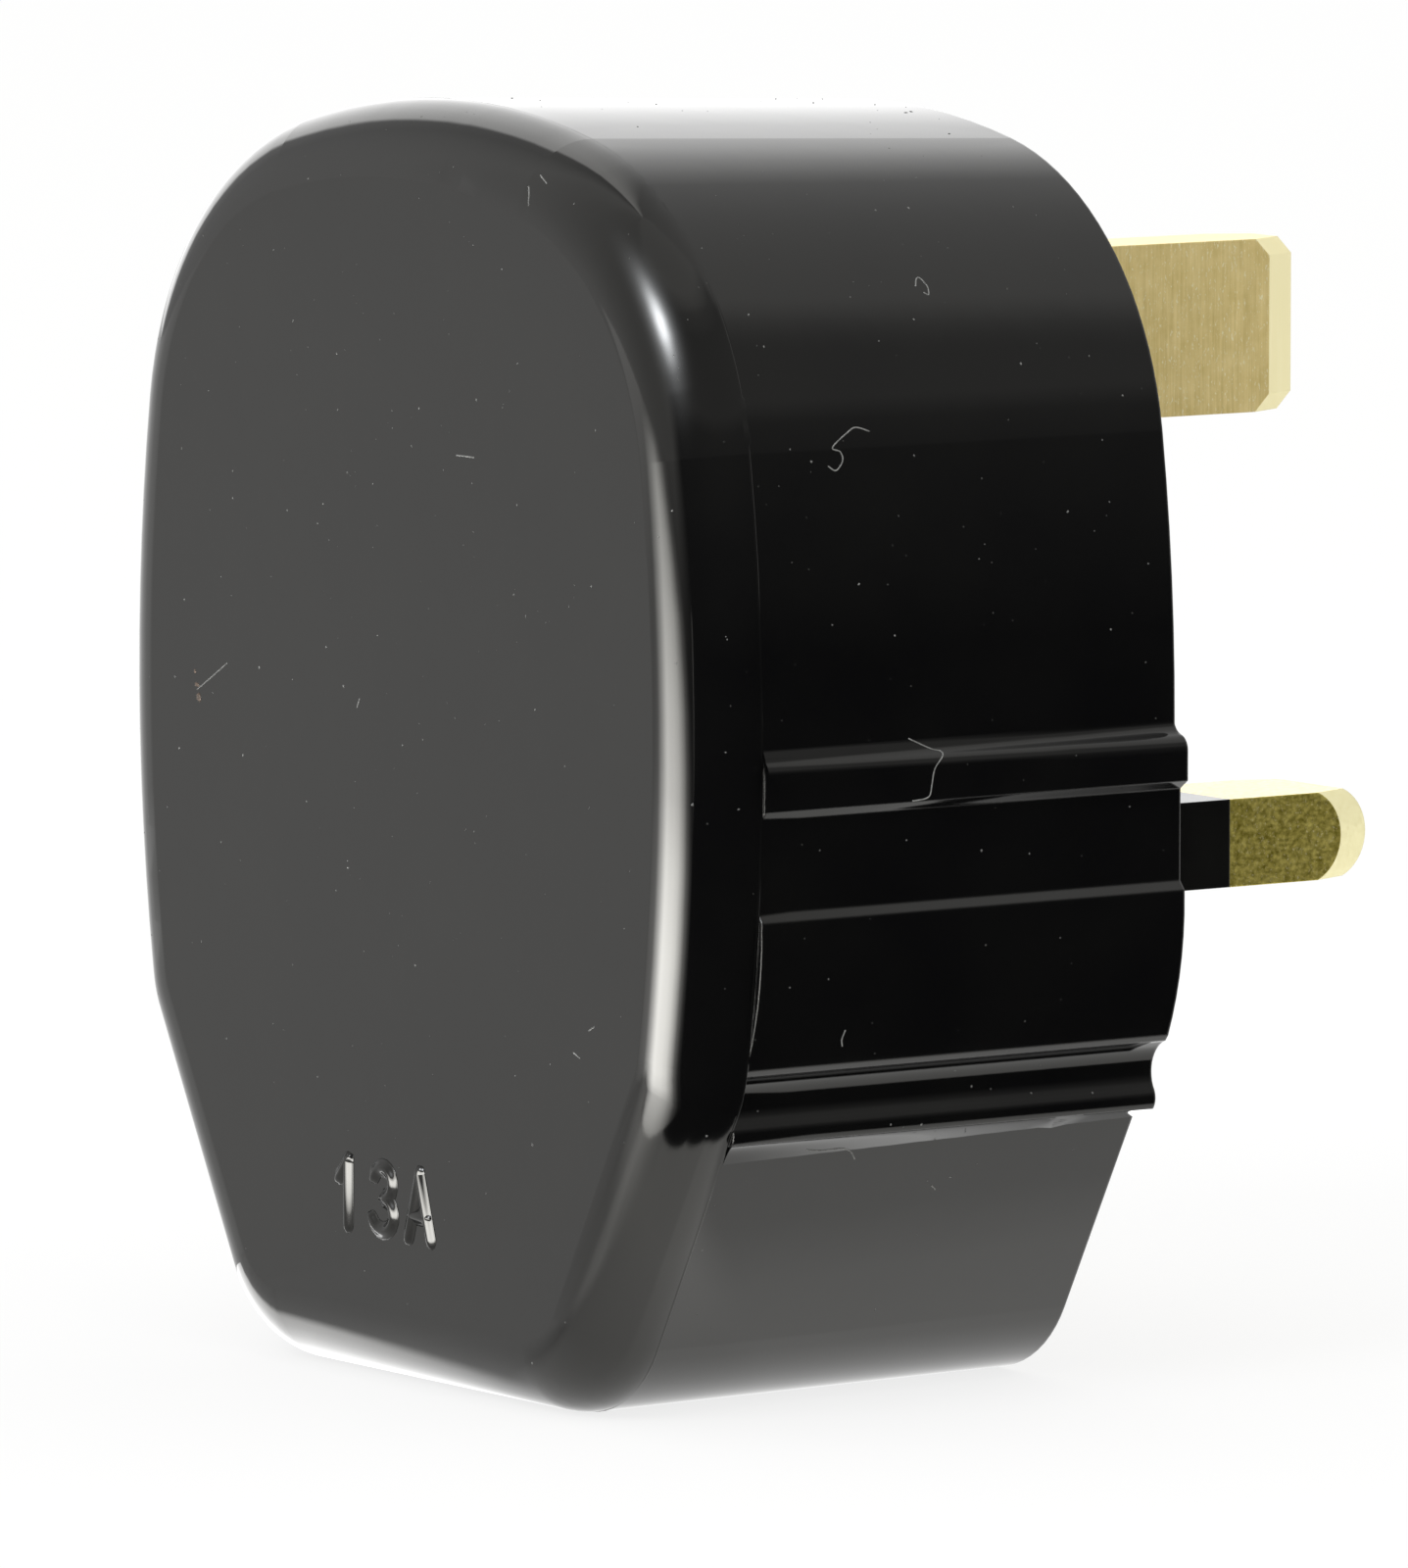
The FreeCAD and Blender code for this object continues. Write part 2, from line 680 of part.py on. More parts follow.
def nosed_pin(body, name, across, width, side, back, half_thickness, height, length, bevel):
    """A rectangular pin with a rounded nose whose edge is bevelled on both wide sides."""
    sketches = []
    for index, (offset, reach) in enumerate((
        (f"{across} - {width}/2", f"{length} - {bevel}"),
        (f"{across} - {width}/2 + {side}", length),
        (f"{across} + {width}/2 - {side}", length),
        (f"{across} + {width}/2", f"{length} - {bevel}"),
    )):
        sketches.append(profile(
            new_sketch(body, f"{name}Section{index}", "YZ_Plane", offset),
            [
                (back, f"{height} - {half_thickness}"),
                (f"{reach} - pin_nose_length", f"{height} - {half_thickness}"),
                (f"{reach} - pin_nose_length", f"{height} + {half_thickness}"),
                (back, f"{height} + {half_thickness}"),
            ],
            {1: ("pin_nose_length", 1)},
        ))
    return loft(body, name, sketches)


def cornered_pin(body, name, width, side, half_thickness, height, length, bevel):
    """A rectangular pin with cut corners and a long bevel on both wide sides of its tip."""
    sketches = []
    for index, (offset, reach) in enumerate((
        (f"-{width}/2", f"{length} - {bevel}"),
        (f"{side} - {width}/2", length),
        (f"{width}/2 - {side}", length),
        (f"{width}/2", f"{length} - {bevel}"),
    )):
        sketches.append(profile(
            new_sketch(body, f"{name}Section{index}", "YZ_Plane", offset),
            [
                (INNER, f"{height} - {half_thickness}"),
                (f"{reach} - earth_corner", f"{height} - {half_thickness}"),
                (reach, f"{height} - {half_thickness} + earth_corner"),
                (reach, f"{height} + {half_thickness} - earth_corner"),
                (f"{reach} - earth_corner", f"{height} + {half_thickness}"),
                (INNER, f"{height} + {half_thickness}"),
            ],
            {},
        ))
    return loft(body, name, sketches)


def terminal_holes(body, radii, across, height, top, floor, ceiling):
    """The conductor's way through a terminal block, and its clamp screw's hole."""
    wire, clamp = radii
    body_rod(body, "Subtractive", "WireHole", ALONG_Z, wire, (across, f"{top} + wire_height"),
             (floor, ceiling))
    body_rod(body, "Subtractive", "ClampHole", ALONG_Y, f"{clamp} + clamp_clearance", (across, height),
             (top, f"{top} + wire_height"))


def make_earth_pin():
    body = new_body("EarthPin")
    cornered_pin(body, "Pin", "earth_width", "earth_bevel_side", "earth_thickness/2", "earth_height",
                 "earth_length", "earth_bevel_length")
    floor = "earth_height - block_width/2"
    ceiling = "earth_height + block_width/2"
    top = f"{INNER} - block_height"
    body_box(body, "Additive", "Terminal", ("-earth_block_width/2", "earth_block_width/2"), (top, INNER),
             (floor, ceiling))
    terminal_holes(body, PIN_RADII, "0", "earth_height", top, f"{floor} - wall", f"{ceiling} + wall")
    node(body, "earth_pin")


def sleeved_pin(body, across):
    """The brass of a line or neutral pin: full size past the sleeve, slimmer inside it."""
    nosed_pin(body, "Pin", across, "pin_width", "pin_bevel_side", "sleeve_length", "pin_thickness/2",
              "0", "pin_length", "pin_bevel_length")
    half_width = "pin_width/2 - sleeve_wall"
    half_thickness = "pin_thickness/2 - sleeve_wall"
    body_box(body, "Additive", "Core", (f"{across} - ({half_width})", f"{across} + {half_width}"),
             (INNER, "sleeve_length"), (f"-({half_thickness})", half_thickness))


def make_neutral_pin():
    body = new_body("NeutralPin")
    sleeved_pin(body, NEUTRAL)
    top = f"{INNER} - block_height"
    body_box(body, "Additive", "Terminal", (f"{NEUTRAL} - block_width/2", f"{NEUTRAL} + block_width/2"),
             (top, INNER), ("-block_width/2", "block_width/2"))
    terminal_holes(body, PIN_RADII, NEUTRAL, "0", top, "-block_width/2 - wall", "block_width/2 + wall")
    node(body, "neutral_pin")


def make_line_pin():
    body = new_body("LinePin")
    sleeved_pin(body, LINE)
    body_box(body, "Additive", "Head", (f"{LINE} - head_width/2", f"{LINE} + head_width/2"),
             (f"{INNER} - head_height", INNER), ("-head_depth/2", "head_depth/2"))
    body_box(body, "Additive", "Spigot", (f"{LINE} - spigot_width/2", f"{LINE} + spigot_width/2"),
             (f"{INNER} - head_height - strip - spigot_rise", INNER), ("-spigot_depth/2", "spigot_depth/2"))
    node(body, "line_pin")


def make_sleeve(name, label, across):
    outer = box(name + "Outer", (f"{across} - pin_width/2", f"{across} + pin_width/2"),
                ("-sleeve_root", "sleeve_length"), ("-pin_thickness/2", "pin_thickness/2"))
    half_width = "pin_width/2 - sleeve_wall + sleeve_clearance"
    half_thickness = "pin_thickness/2 - sleeve_wall + sleeve_clearance"
    inner = box(name + "Inner", (f"{across} - ({half_width})", f"{across} + {half_width}"),
                ("-sleeve_root - wall", "sleeve_length + wall"), (f"-({half_thickness})", half_thickness))
    node(cut(name, outer, [inner]), label)


def clip_channel(name, floor, middle):
    """A spring clip: a strip folded up on both sides and curled over the fuse's cap."""
    inside = "cap_radius + clip_clearance"
    outside = f"{inside} + strip"
    ends = (f"{middle} - clip_length/2", f"{middle} + clip_length/2")
    past = (f"{middle} - clip_length", f"{middle} + clip_length")
    curl = rod(name + "Curl", ALONG_Z, outside, (LINE, FUSE_AXIS), ends)
    walls = box(name + "Walls", (f"{LINE} - ({outside})", f"{LINE} + {outside}"), (FUSE_AXIS, floor), ends)
    bore = rod(name + "Bore", ALONG_Z, inside, (LINE, FUSE_AXIS), past)
    channel = box(name + "Channel", (f"{LINE} - ({inside})", f"{LINE} + {inside}"),
                  (FUSE_AXIS, f"{floor} - strip"), past)
    mouth = box(name + "Mouth", (f"{LINE} - ({outside})", f"{LINE} + {outside}"),
                (f"{FUSE_AXIS} - ({outside})", f"{FUSE_AXIS} - clip_mouth"), past)
    return cut(name + "Strip", fuse(name + "Blank", [curl, walls]), [bore, channel, mouth])


def make_clips():
    seat = f"{INNER} - head_height"
    middle = "0"
    slot = box("SpigotSlot",
               (f"{LINE} - spigot_width/2 - pin_clearance", f"{LINE} + spigot_width/2 + pin_clearance"),
               (f"{seat} - strip", seat),
               ("-spigot_depth/2 - pin_clearance", "spigot_depth/2 + pin_clearance"))
    node(cut("LineFuseClip", clip_channel("LineClip", seat, middle), [slot]), "line_fuse_clip")

    high = "fuse_length - cap_length"
    channel = clip_channel("TerminalClip", INNER, high)
    under = (f"{INNER} - strip", INNER)
    tail = box("TerminalTail", (BLOCK_SIDE, BLOCK_OUTER), under,
               ("line_block_foot", "line_block_foot + line_block_length"))
    neck = box("TerminalNeck", (BLOCK_SIDE, BLOCK_MIDDLE), under, ("line_block_foot", high))
    arm = box("TerminalArm", (LINE, BLOCK_MIDDLE), under, (f"{high} - clip_length/2", high))
    hole = rod("TailHole", ALONG_Y, f"{STUB_RADIUS} + pin_clearance",
               (BLOCK_MIDDLE, "line_block_foot + line_block_length/2"),
               (f"{INNER} - strip - wall", f"{INNER} + wall"))
    strip = fuse("TerminalStrip", [channel, tail, neck, arm])
    node(cut("TerminalFuseClip", strip, [hole]), "terminal_fuse_clip")


def make_line_terminal():
    body = new_body("LineTerminal")
    across = BLOCK_MIDDLE
    height = "line_block_foot + line_block_length/2"
    foot = f"{INNER} - strip"
    top = f"{foot} - line_block_height"
    body_box(body, "Additive", "Block", (BLOCK_SIDE, BLOCK_OUTER), (top, foot),
             ("line_block_foot", "line_block_foot + line_block_length"))
    body_rod(body, "Additive", "Stub", ALONG_Y, STUB_RADIUS, (across, height),
             (foot, f"{INNER} + line_stub_length"))
    terminal_holes(body, LINE_RADII, across, height, top, "line_block_foot - wall",
                   "line_block_foot + line_block_length + wall")
    node(body, "line_terminal")


def make_fuse():
    axis = (LINE, FUSE_AXIS)
    body_ends = (f"{FUSE_LOW} + cap_end", f"{FUSE_HIGH} - cap_end")
    tube = rod("FuseTube", ALONG_Z, "cap_radius - cap_wall - fuse_clearance", axis, body_ends)
    bore = rod("FuseBore", ALONG_Z, "tube_bore", axis, (FUSE_LOW, FUSE_HIGH))
    node(cut("FuseBody", tube, [bore]), "fuse_body")
    node(rod("FuseWire", ALONG_Z, "fuse_wire_radius", axis, body_ends), "fuse_wire")
    for name, label, ends, mouth in (
        ("LowerCap", "fuse_cap_lower", (FUSE_LOW, f"{FUSE_LOW} + cap_length"),
         (f"{FUSE_LOW} + cap_end", f"{FUSE_LOW} + cap_length + wall")),
        ("UpperCap", "fuse_cap_upper", (f"{FUSE_HIGH} - cap_length", FUSE_HIGH),
         (f"{FUSE_HIGH} - cap_length - wall", f"{FUSE_HIGH} - cap_end")),
    ):
        shell = rod(name + "Shell", ALONG_Z, "cap_radius", axis, ends)
        inside = rod(name + "Inside", ALONG_Z, "cap_radius - cap_wall", axis, mouth)
        node(cut(name, shell, [inside]), label)


def slotted_screw(name, across, height, seat, radius, length, head_radius, head_height):
    """A slotted screw driven along +Y, its head on the seat."""
    shank = rod(name + "Shank", ALONG_Y, radius, (across, height), (seat, f"{seat} + {length}"))
    head = rod(name + "Head", ALONG_Y, head_radius, (across, height), (f"{seat} - {head_height}", seat))
    slot = box(name + "Slot", (f"{across} - ({head_radius})", f"{across} + {head_radius}"),
               (f"{seat} - {head_height}", f"{seat} - {head_height} + slot_depth"),
               (f"{height} - slot_width/2", f"{height} + slot_width/2"))
    return cut(name, fuse(name + "Blank", [shank, head]), [slot])


def group(name, pieces, label):
    together = doc.addObject("Part::Compound", name)
    together.Links = pieces
    node(together, label)


def make_screws():
    line_top = f"{INNER} - strip - line_block_height"
    block_top = f"{INNER} - block_height"
    clamps = []
    line_height = "line_block_foot + line_block_length/2"
    line_head = f"{BLOCK_HALF} + line_clamp_overhang"
    for name, across, height, seat, radius, head in (
        ("EarthClamp", "0", "earth_height", block_top, PIN_RADII[1], "clamp_head_radius"),
        ("NeutralClamp", NEUTRAL, "0", block_top, PIN_RADII[1], "clamp_head_radius"),
        ("LineClamp", BLOCK_MIDDLE, line_height, line_top, LINE_RADII[1], line_head),
    ):
        clamps.append(slotted_screw(name, across, height, seat, radius, "clamp_length",
                                    head, "clamp_head_height"))
    group("TerminalScrews", clamps, "terminal_screws")

    seat = f"{INNER} - grip_pillar_height - grip_bar_thickness"
    grips = []
    for name, across in (("LeftGripScrew", "-grip_spacing/2"), ("RightGripScrew", "grip_spacing/2")):
        grips.append(slotted_screw(name, across, GRIP_LINE, seat, "grip_screw_radius", "grip_screw_length",
                                   "grip_head_radius", "grip_head_height"))
    group("CordGripScrews", grips, "cord_grip_screws")


def make_cover_screw():
    centre = ("0", "screw_height")
    seat = "-screw_sink - screw_head_height"
    head = rod("ScrewHead", ALONG_Y, "screw_head_radius", centre, (seat, "-screw_sink"))
    shank = rod("ScrewShank", ALONG_Y, "screw_radius", centre, ("-screw_reach", seat))
    slot = box("ScrewSlot", ("-screw_head_radius", "screw_head_radius"),
               ("-screw_sink - slot_depth", "-screw_sink"),
               ("screw_height - slot_width/2", "screw_height + slot_width/2"))
    node(cut("CoverScrew", fuse("ScrewBlank", [head, shank]), [slot]), "cover_screw")

    washer_ends = (f"{INNER} - pillar_height - retainer_height", f"{INNER} - pillar_height")
    washer = rod("RetainerDisc", ALONG_Y, "retainer_radius", centre, washer_ends)
    eye = rod("RetainerEye", ALONG_Y, "screw_radius + retainer_grip", centre, washer_ends)
    node(cut("ScrewRetainer", washer, [eye]), "screw_retainer")

    bush_ends = (f"{POST_END} - bush_length", POST_END)
    bush = rod("BushBlank", ALONG_Y, "bush_radius", centre, bush_ends)
    thread = rod("BushBore", ALONG_Y, "screw_radius + bush_clearance", centre, bush_ends)
    node(cut("CoverInsert", bush, [thread]), "cover_insert")


def make_cord_grip():
    """A bar with rounded ends, arched over the cord, on the base's two pillars."""
    top = f"{INNER} - grip_pillar_height - grip_bar_thickness"
    ends = (top, f"{INNER} - grip_pillar_height")
    half = "grip_bar_width/2"
    bar = box("GripBar", ("-grip_spacing/2", "grip_spacing/2"), ends,
              (f"{GRIP_LINE} - {half}", f"{GRIP_LINE} + {half}"))
    solids = [bar]
    holes = []
    for name, across in (("Left", "-grip_spacing/2"), ("Right", "grip_spacing/2")):
        solids.append(rod(name + "GripEnd", ALONG_Y, half, (across, GRIP_LINE), ends))
        holes.append(rod(name + "GripHole", ALONG_Y, "grip_screw_radius + grip_clearance",
                         (across, GRIP_LINE), ends))
    arch = rod("GripArch", ALONG_Z, "grip_arch_radius",
               ("0", f"{INNER} - grip_pillar_height - grip_arch_rise + grip_arch_radius"),
               (f"{GRIP_LINE} - grip_bar_width", f"{GRIP_LINE} + grip_bar_width"))
    node(cut("CordGrip", fuse("GripBlank", solids), holes + [arch]), "cord_grip")


make_cover()
make_base()
make_earth_pin()
make_neutral_pin()
make_line_pin()
make_sleeve("LineSleeve", "line_sleeve", LINE)
make_sleeve("NeutralSleeve", "neutral_sleeve", NEUTRAL)
make_clips()
make_line_terminal()
make_fuse()
make_screws()
make_cover_screw()
make_cord_grip()
doc.recompute()

for each in doc.Objects:
    if "Invalid" in each.State or "Error" in each.State:
        raise RuntimeError(f"{each.Label} did not build: {each.State}")
os.makedirs("parts", exist_ok=True)
for each in nodes:
    if each.Shape.isNull() or not each.Shape.isValid():
        raise RuntimeError(f"{each.Label} has no valid shape")
    each.Shape.exportStep(f"parts/{each.Label}.step")
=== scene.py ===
import math
import random

import bpy
from mathutils import Matrix, Vector
from mathutils.bvhtree import BVHTree


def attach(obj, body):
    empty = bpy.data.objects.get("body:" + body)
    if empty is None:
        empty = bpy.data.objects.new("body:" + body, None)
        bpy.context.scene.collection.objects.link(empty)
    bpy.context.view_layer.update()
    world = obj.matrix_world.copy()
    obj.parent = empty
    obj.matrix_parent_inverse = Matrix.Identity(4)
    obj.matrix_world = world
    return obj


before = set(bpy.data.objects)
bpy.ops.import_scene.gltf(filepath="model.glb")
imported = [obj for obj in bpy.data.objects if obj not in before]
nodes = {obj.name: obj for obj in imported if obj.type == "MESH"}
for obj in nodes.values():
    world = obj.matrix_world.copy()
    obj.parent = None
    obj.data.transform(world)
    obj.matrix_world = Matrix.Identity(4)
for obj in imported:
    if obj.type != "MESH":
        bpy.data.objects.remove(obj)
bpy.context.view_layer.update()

# All lengths below are in millimetres, in the frame of the solids: +Y out along the pins, +Z up
MM = 0.001
FLOOR = -23.7

# Sizes that the moulded details share with the cover
PARTING = -22.9
BACK = -26.4
EDGE_RADIUS = 3.4


# Node helpers

# Which sockets of a Mix node take its two values and give its result, by the kind of value
MIX_SOCKETS = {"FLOAT": (2, 3, 0), "VECTOR": (4, 5, 1), "RGBA": (6, 7, 2)}


def new_material(name):
    material = bpy.data.materials.new(name)
    material.use_nodes = True
    tree = material.node_tree
    return material, tree, tree.nodes["Principled BSDF"]


def add(tree, kind, **settings):
    made = tree.nodes.new(kind)
    for name, value in settings.items():
        setattr(made, name, value)
    return made


def feed(tree, socket, value):
    """Link a socket to another node's result, or set it to a plain value."""
    if isinstance(value, bpy.types.NodeSocket):
        tree.links.new(value, socket)
    else:
        socket.default_value = value


def math_node(tree, operation, *values):
    made = add(tree, "ShaderNodeMath", operation=operation)
    for socket, value in zip(made.inputs, values):
        feed(tree, socket, value)
    return made.outputs["Value"]


def vector_node(tree, operation, *values):
    made = add(tree, "ShaderNodeVectorMath", operation=operation)
    for socket, value in zip(made.inputs, values):
        feed(tree, socket, value)
    return made.outputs["Value" if operation == "DOT_PRODUCT" else "Vector"]


def coordinates(tree):
    return add(tree, "ShaderNodeTexCoord").outputs["Object"]


def split(tree, vector):
    """The three components of a vector."""
    axes = add(tree, "ShaderNodeSeparateXYZ")
    tree.links.new(vector, axes.inputs[0])
    return axes.outputs["X"], axes.outputs["Y"], axes.outputs["Z"]


def span(tree, value, low, high, soft=False):
    """How far a value has come from a low to a high end, from 0 to 1."""
    made = add(tree, "ShaderNodeMapRange", interpolation_type="SMOOTHSTEP" if soft else "LINEAR")
    made.inputs["From Min"].default_value = low
    made.inputs["From Max"].default_value = high
    tree.links.new(value, made.inputs["Value"])
    return made.outputs["Result"]


def mix(tree, kind, share, first, second):
    """A number, vector or colour that turns into another one by a share from 0 to 1."""
    made = add(tree, "ShaderNodeMix", data_type=kind)
    one, other, result = MIX_SOCKETS[kind]
    tree.links.new(share, made.inputs[0])
    feed(tree, made.inputs[one], first)
    feed(tree, made.inputs[other], second)
    return made.outputs[result]


def noise(tree, size, detail=2.0, stretch=(1, 1, 1), roughness=0.5):
    """Noise whose largest features are about size millimetres wide, stretched along each axis."""
    mapping = add(tree, "ShaderNodeMapping")
    mapping.inputs["Scale"].default_value = [each / MM for each in stretch]
    tree.links.new(coordinates(tree), mapping.inputs["Vector"])
    made = add(tree, "ShaderNodeTexNoise")
    made.inputs["Scale"].default_value = 1 / size
    made.inputs["Detail"].default_value = detail
    made.inputs["Roughness"].default_value = roughness
    tree.links.new(mapping.outputs["Vector"], made.inputs["Vector"])
    return made.outputs["Fac"]


def ramp(tree, source, *stops):
    """Colours or grey levels at places along a value from 0 to 1."""
    made = add(tree, "ShaderNodeValToRGB")
    points = made.color_ramp.elements
    while len(points) < len(stops):
        points.new(1)
    for point, (where, level) in zip(points, stops):
        point.position = where
        point.color = (*level, 1) if isinstance(level, tuple) else (level, level, level, 1)
    tree.links.new(source, made.inputs["Fac"])
    return made.outputs["Color"]


# The back edge's own normal gives way to the flat back's between these sines of its slope
NEARLY_FLAT = (0.99, 0.86)


def back_edge(tree, elsewhere):
    """The true normal of the rounded back edge, from each point's depth, and another normal elsewhere."""
    depth = split(tree, coordinates(tree))[1]
    past_start = math_node(tree, "SUBTRACT", (BACK + EDGE_RADIUS) * MM, depth)
    sine = math_node(tree, "MINIMUM", math_node(tree, "DIVIDE", past_start, EDGE_RADIUS * MM), 1)
    square = math_node(tree, "MULTIPLY", sine, sine)
    cosine = math_node(tree, "SQRT", math_node(tree, "SUBTRACT", 1, square))
    geometry = add(tree, "ShaderNodeNewGeometry")
    sideways = vector_node(tree, "MULTIPLY", geometry.outputs["Normal"], (1, 0, 1))
    outward = add(tree, "ShaderNodeVectorMath", operation="SCALE")
    tree.links.new(vector_node(tree, "NORMALIZE", sideways), outward.inputs[0])
    tree.links.new(cosine, outward.inputs["Scale"])
    backward = add(tree, "ShaderNodeCombineXYZ")
    tree.links.new(math_node(tree, "MULTIPLY", sine, -1), backward.inputs["Y"])
    true = vector_node(tree, "ADD", outward.outputs["Vector"], backward.outputs["Vector"])
    behind = math_node(tree, "LESS_THAN", depth, PARTING * MM)
    share = math_node(tree, "MULTIPLY", behind, span(tree, sine, *NEARLY_FLAT, True))
    return mix(tree, "VECTOR", share, elsewhere, true)


def bump(tree, shader, *layers, edge=None, rounded_back=False):
    """Stack bump layers of (height, depth in mm), over edges softened by a radius in mm."""
    normal = None
    if edge:
        soft = add(tree, "ShaderNodeBevel", samples=6)
        soft.inputs["Radius"].default_value = edge * MM
        normal = soft.outputs["Normal"]
        if rounded_back:
            normal = back_edge(tree, normal)
    for height, depth in layers:
        made = add(tree, "ShaderNodeBump")
        made.inputs["Strength"].default_value = 1
        made.inputs["Distance"].default_value = depth * MM
        tree.links.new(height, made.inputs["Height"])
        if normal:
            tree.links.new(normal, made.inputs["Normal"])
        normal = made.outputs["Normal"]
    tree.links.new(normal, shader.inputs["Normal"])


def paint(material, *names):
    for name in names:
        nodes[name].data.materials.clear()
        nodes[name].data.materials.append(material)


# Materials

WARM = (1.0, 0.985, 0.93, 1)
MOULDING_IOR = 1.46
PEEL_SIZES = (2.2, 0.25)
FINE_PEEL = 0.05
STREAKS_SHARE = 0.55
PATCHES_SHARE = 0.45


def moulding(name, dark, light, shine, dull, peel, edge=None, rounded_back=False):
    """Glossy thermoset: a near-black body, a slightly uneven polish and a faint orange peel."""
    material, tree, shader = new_material(name)
    colour = ramp(tree, noise(tree, 6, 4), (0.35, dark), (0.7, light))
    tree.links.new(colour, shader.inputs["Base Color"])
    polish = ramp(tree, noise(tree, 9, 6, roughness=0.65), (0.35, shine), (0.75, dull))
    tree.links.new(polish, shader.inputs["Roughness"])
    shader.inputs["IOR"].default_value = MOULDING_IOR
    shader.inputs["Specular Tint"].default_value = WARM
    coarse, fine = noise(tree, PEEL_SIZES[0], 1), noise(tree, PEEL_SIZES[1], 2)
    bump(tree, shader, (coarse, peel), (fine, peel * FINE_PEEL), edge=edge, rounded_back=rounded_back)
    return material


def metal(name, dark, light, shine, dull, grain, depth, patch=5.0, speck=None, bare=1.0, tip_highlight=None, top=None):
    """Metal with a drawn grain and slow patches of tarnish; pins have pale specks, a bright painted highlight
    on the tip and a top painted paler as a highlight.
    """
    material, tree, shader = new_material(name)
    streaks = noise(tree, 0.5, 4, grain, 0.6)
    patches = noise(tree, patch, 4)
    tone = math_node(tree, "ADD", math_node(tree, "MULTIPLY", streaks, STREAKS_SHARE),
                     math_node(tree, "MULTIPLY", patches, PATCHES_SHARE))
    colour = ramp(tree, tone, (0.36, dark), (0.64, light))
    if speck:
        fine = noise(tree, 0.16, 2, tuple(each ** 0.25 for each in grain), 0.7)
        colour = mix(tree, "RGBA", ramp(tree, fine, (0.6, 0.0), (0.72, 1.0)), colour, (*speck, 1))
    # Painted highlights: where the surface faces out along the pin it takes the paler tip colour, and where
    # it faces up it takes the top colour, for the light that they catch
    if tip_highlight:
        geometry = add(tree, "ShaderNodeNewGeometry")
        x, y, z = split(tree, geometry.outputs["Normal"])
        colour = mix(tree, "RGBA", ramp(tree, y, (0.1, 0.0), (0.3, 1.0)), colour, (*tip_highlight, 1))
        colour = mix(tree, "RGBA", ramp(tree, z, (0.6, 0.0), (0.9, 1.0)), colour, (*top, 1))
    tree.links.new(colour, shader.inputs["Base Color"])
    tree.links.new(ramp(tree, streaks, (0.3, shine), (0.7, dull)), shader.inputs["Roughness"])
    shader.inputs["Metallic"].default_value = bare
    bump(tree, shader, (streaks, depth), edge=0.1)
    return material


def matt(name, dark, light, size, roughness, depth, stretch=(1, 1, 1)):
    """A matt body, mottled at a size in mm: fired ceramic, pressed fibre, lint or dust."""
    material, tree, shader = new_material(name)
    mottle = noise(tree, size, 5, stretch, 0.65)
    tree.links.new(ramp(tree, mottle, (0.35, dark), (0.68, light)), shader.inputs["Base Color"])
    uneven = ramp(tree, noise(tree, size * 3, 3), (0.3, roughness), (0.7, roughness + 0.12))
    tree.links.new(uneven, shader.inputs["Roughness"])
    bump(tree, shader, (mottle, depth), edge=0.08)
    return material


COVER_BLACK = {"dark": (0.003, 0.003, 0.0033), "light": (0.0042, 0.0042, 0.0042),
               "shine": 0.05, "dull": 0.085}
# The colour of the pins' tops, painted paler as a highlight
PAINTED_PIN_TOP = (0.92, 0.78, 0.42)
black_moulding = moulding("black_moulding", **COVER_BLACK, peel=0.004, edge=0.15, rounded_back=True)
black_base = moulding("black_base", dark=(0.006, 0.006, 0.0065), light=(0.01, 0.01, 0.01),
                      shine=0.16, dull=0.28, peel=0.004, edge=0.12)
black_sleeve = moulding("black_sleeve", dark=(0.003, 0.003, 0.003), light=(0.006, 0.006, 0.0055),
                        shine=0.2, dull=0.3, peel=0.003, edge=0.08)
earth_brass = metal("earth_brass", dark=(0.8, 0.63, 0.24), light=(0.96, 0.79, 0.38), shine=0.46, dull=0.62,
                    grain=(4, 4, 0.12), depth=0.004, patch=1.0, speck=(1.0, 0.92, 0.62), bare=0.55,
                    tip_highlight=(1.0, 0.92, 0.56), top=PAINTED_PIN_TOP)
pin_brass = metal("pin_brass", dark=(0.5, 0.41, 0.05), light=(0.97, 0.83, 0.22), shine=0.28, dull=0.5,
                  grain=(2.8, 1.6, 2.2), depth=0.006, patch=0.8, speck=(1.0, 0.92, 0.5), bare=0.85,
                  tip_highlight=(1.0, 0.93, 0.55), top=PAINTED_PIN_TOP)
clip_brass = metal("clip_brass", dark=(0.6, 0.46, 0.18), light=(0.8, 0.65, 0.3), shine=0.22, dull=0.38,
                   grain=(0.2, 2, 2), depth=0.003)
terminal_brass = metal("terminal_brass", dark=(0.55, 0.42, 0.16), light=(0.78, 0.62, 0.28),
                       shine=0.26, dull=0.44, grain=(1.5, 1.5, 0.4), depth=0.004)
fuse_metal = metal("fuse_metal", dark=(0.55, 0.54, 0.51), light=(0.74, 0.73, 0.7), shine=0.2, dull=0.36,
                   grain=(2, 2, 0.3), depth=0.002)
screw_steel = metal("screw_steel", dark=(0.46, 0.45, 0.42), light=(0.66, 0.64, 0.6), shine=0.24, dull=0.42,
                    grain=(1.5, 0.5, 1.5), depth=0.003)
fuse_ceramic = matt("fuse_ceramic", dark=(0.74, 0.72, 0.66), light=(0.84, 0.82, 0.77),
                    size=1.2, roughness=0.36, depth=0.004)
grey_fibre = matt("grey_fibre", dark=(0.1, 0.095, 0.085), light=(0.24, 0.23, 0.21),
                  size=0.5, roughness=0.6, depth=0.02, stretch=(0.3, 1.2, 1))
paint(black_moulding, "cover")
paint(black_base, "base")
paint(black_sleeve, "line_sleeve", "neutral_sleeve")
paint(earth_brass, "earth_pin")
paint(pin_brass, "line_pin", "neutral_pin")
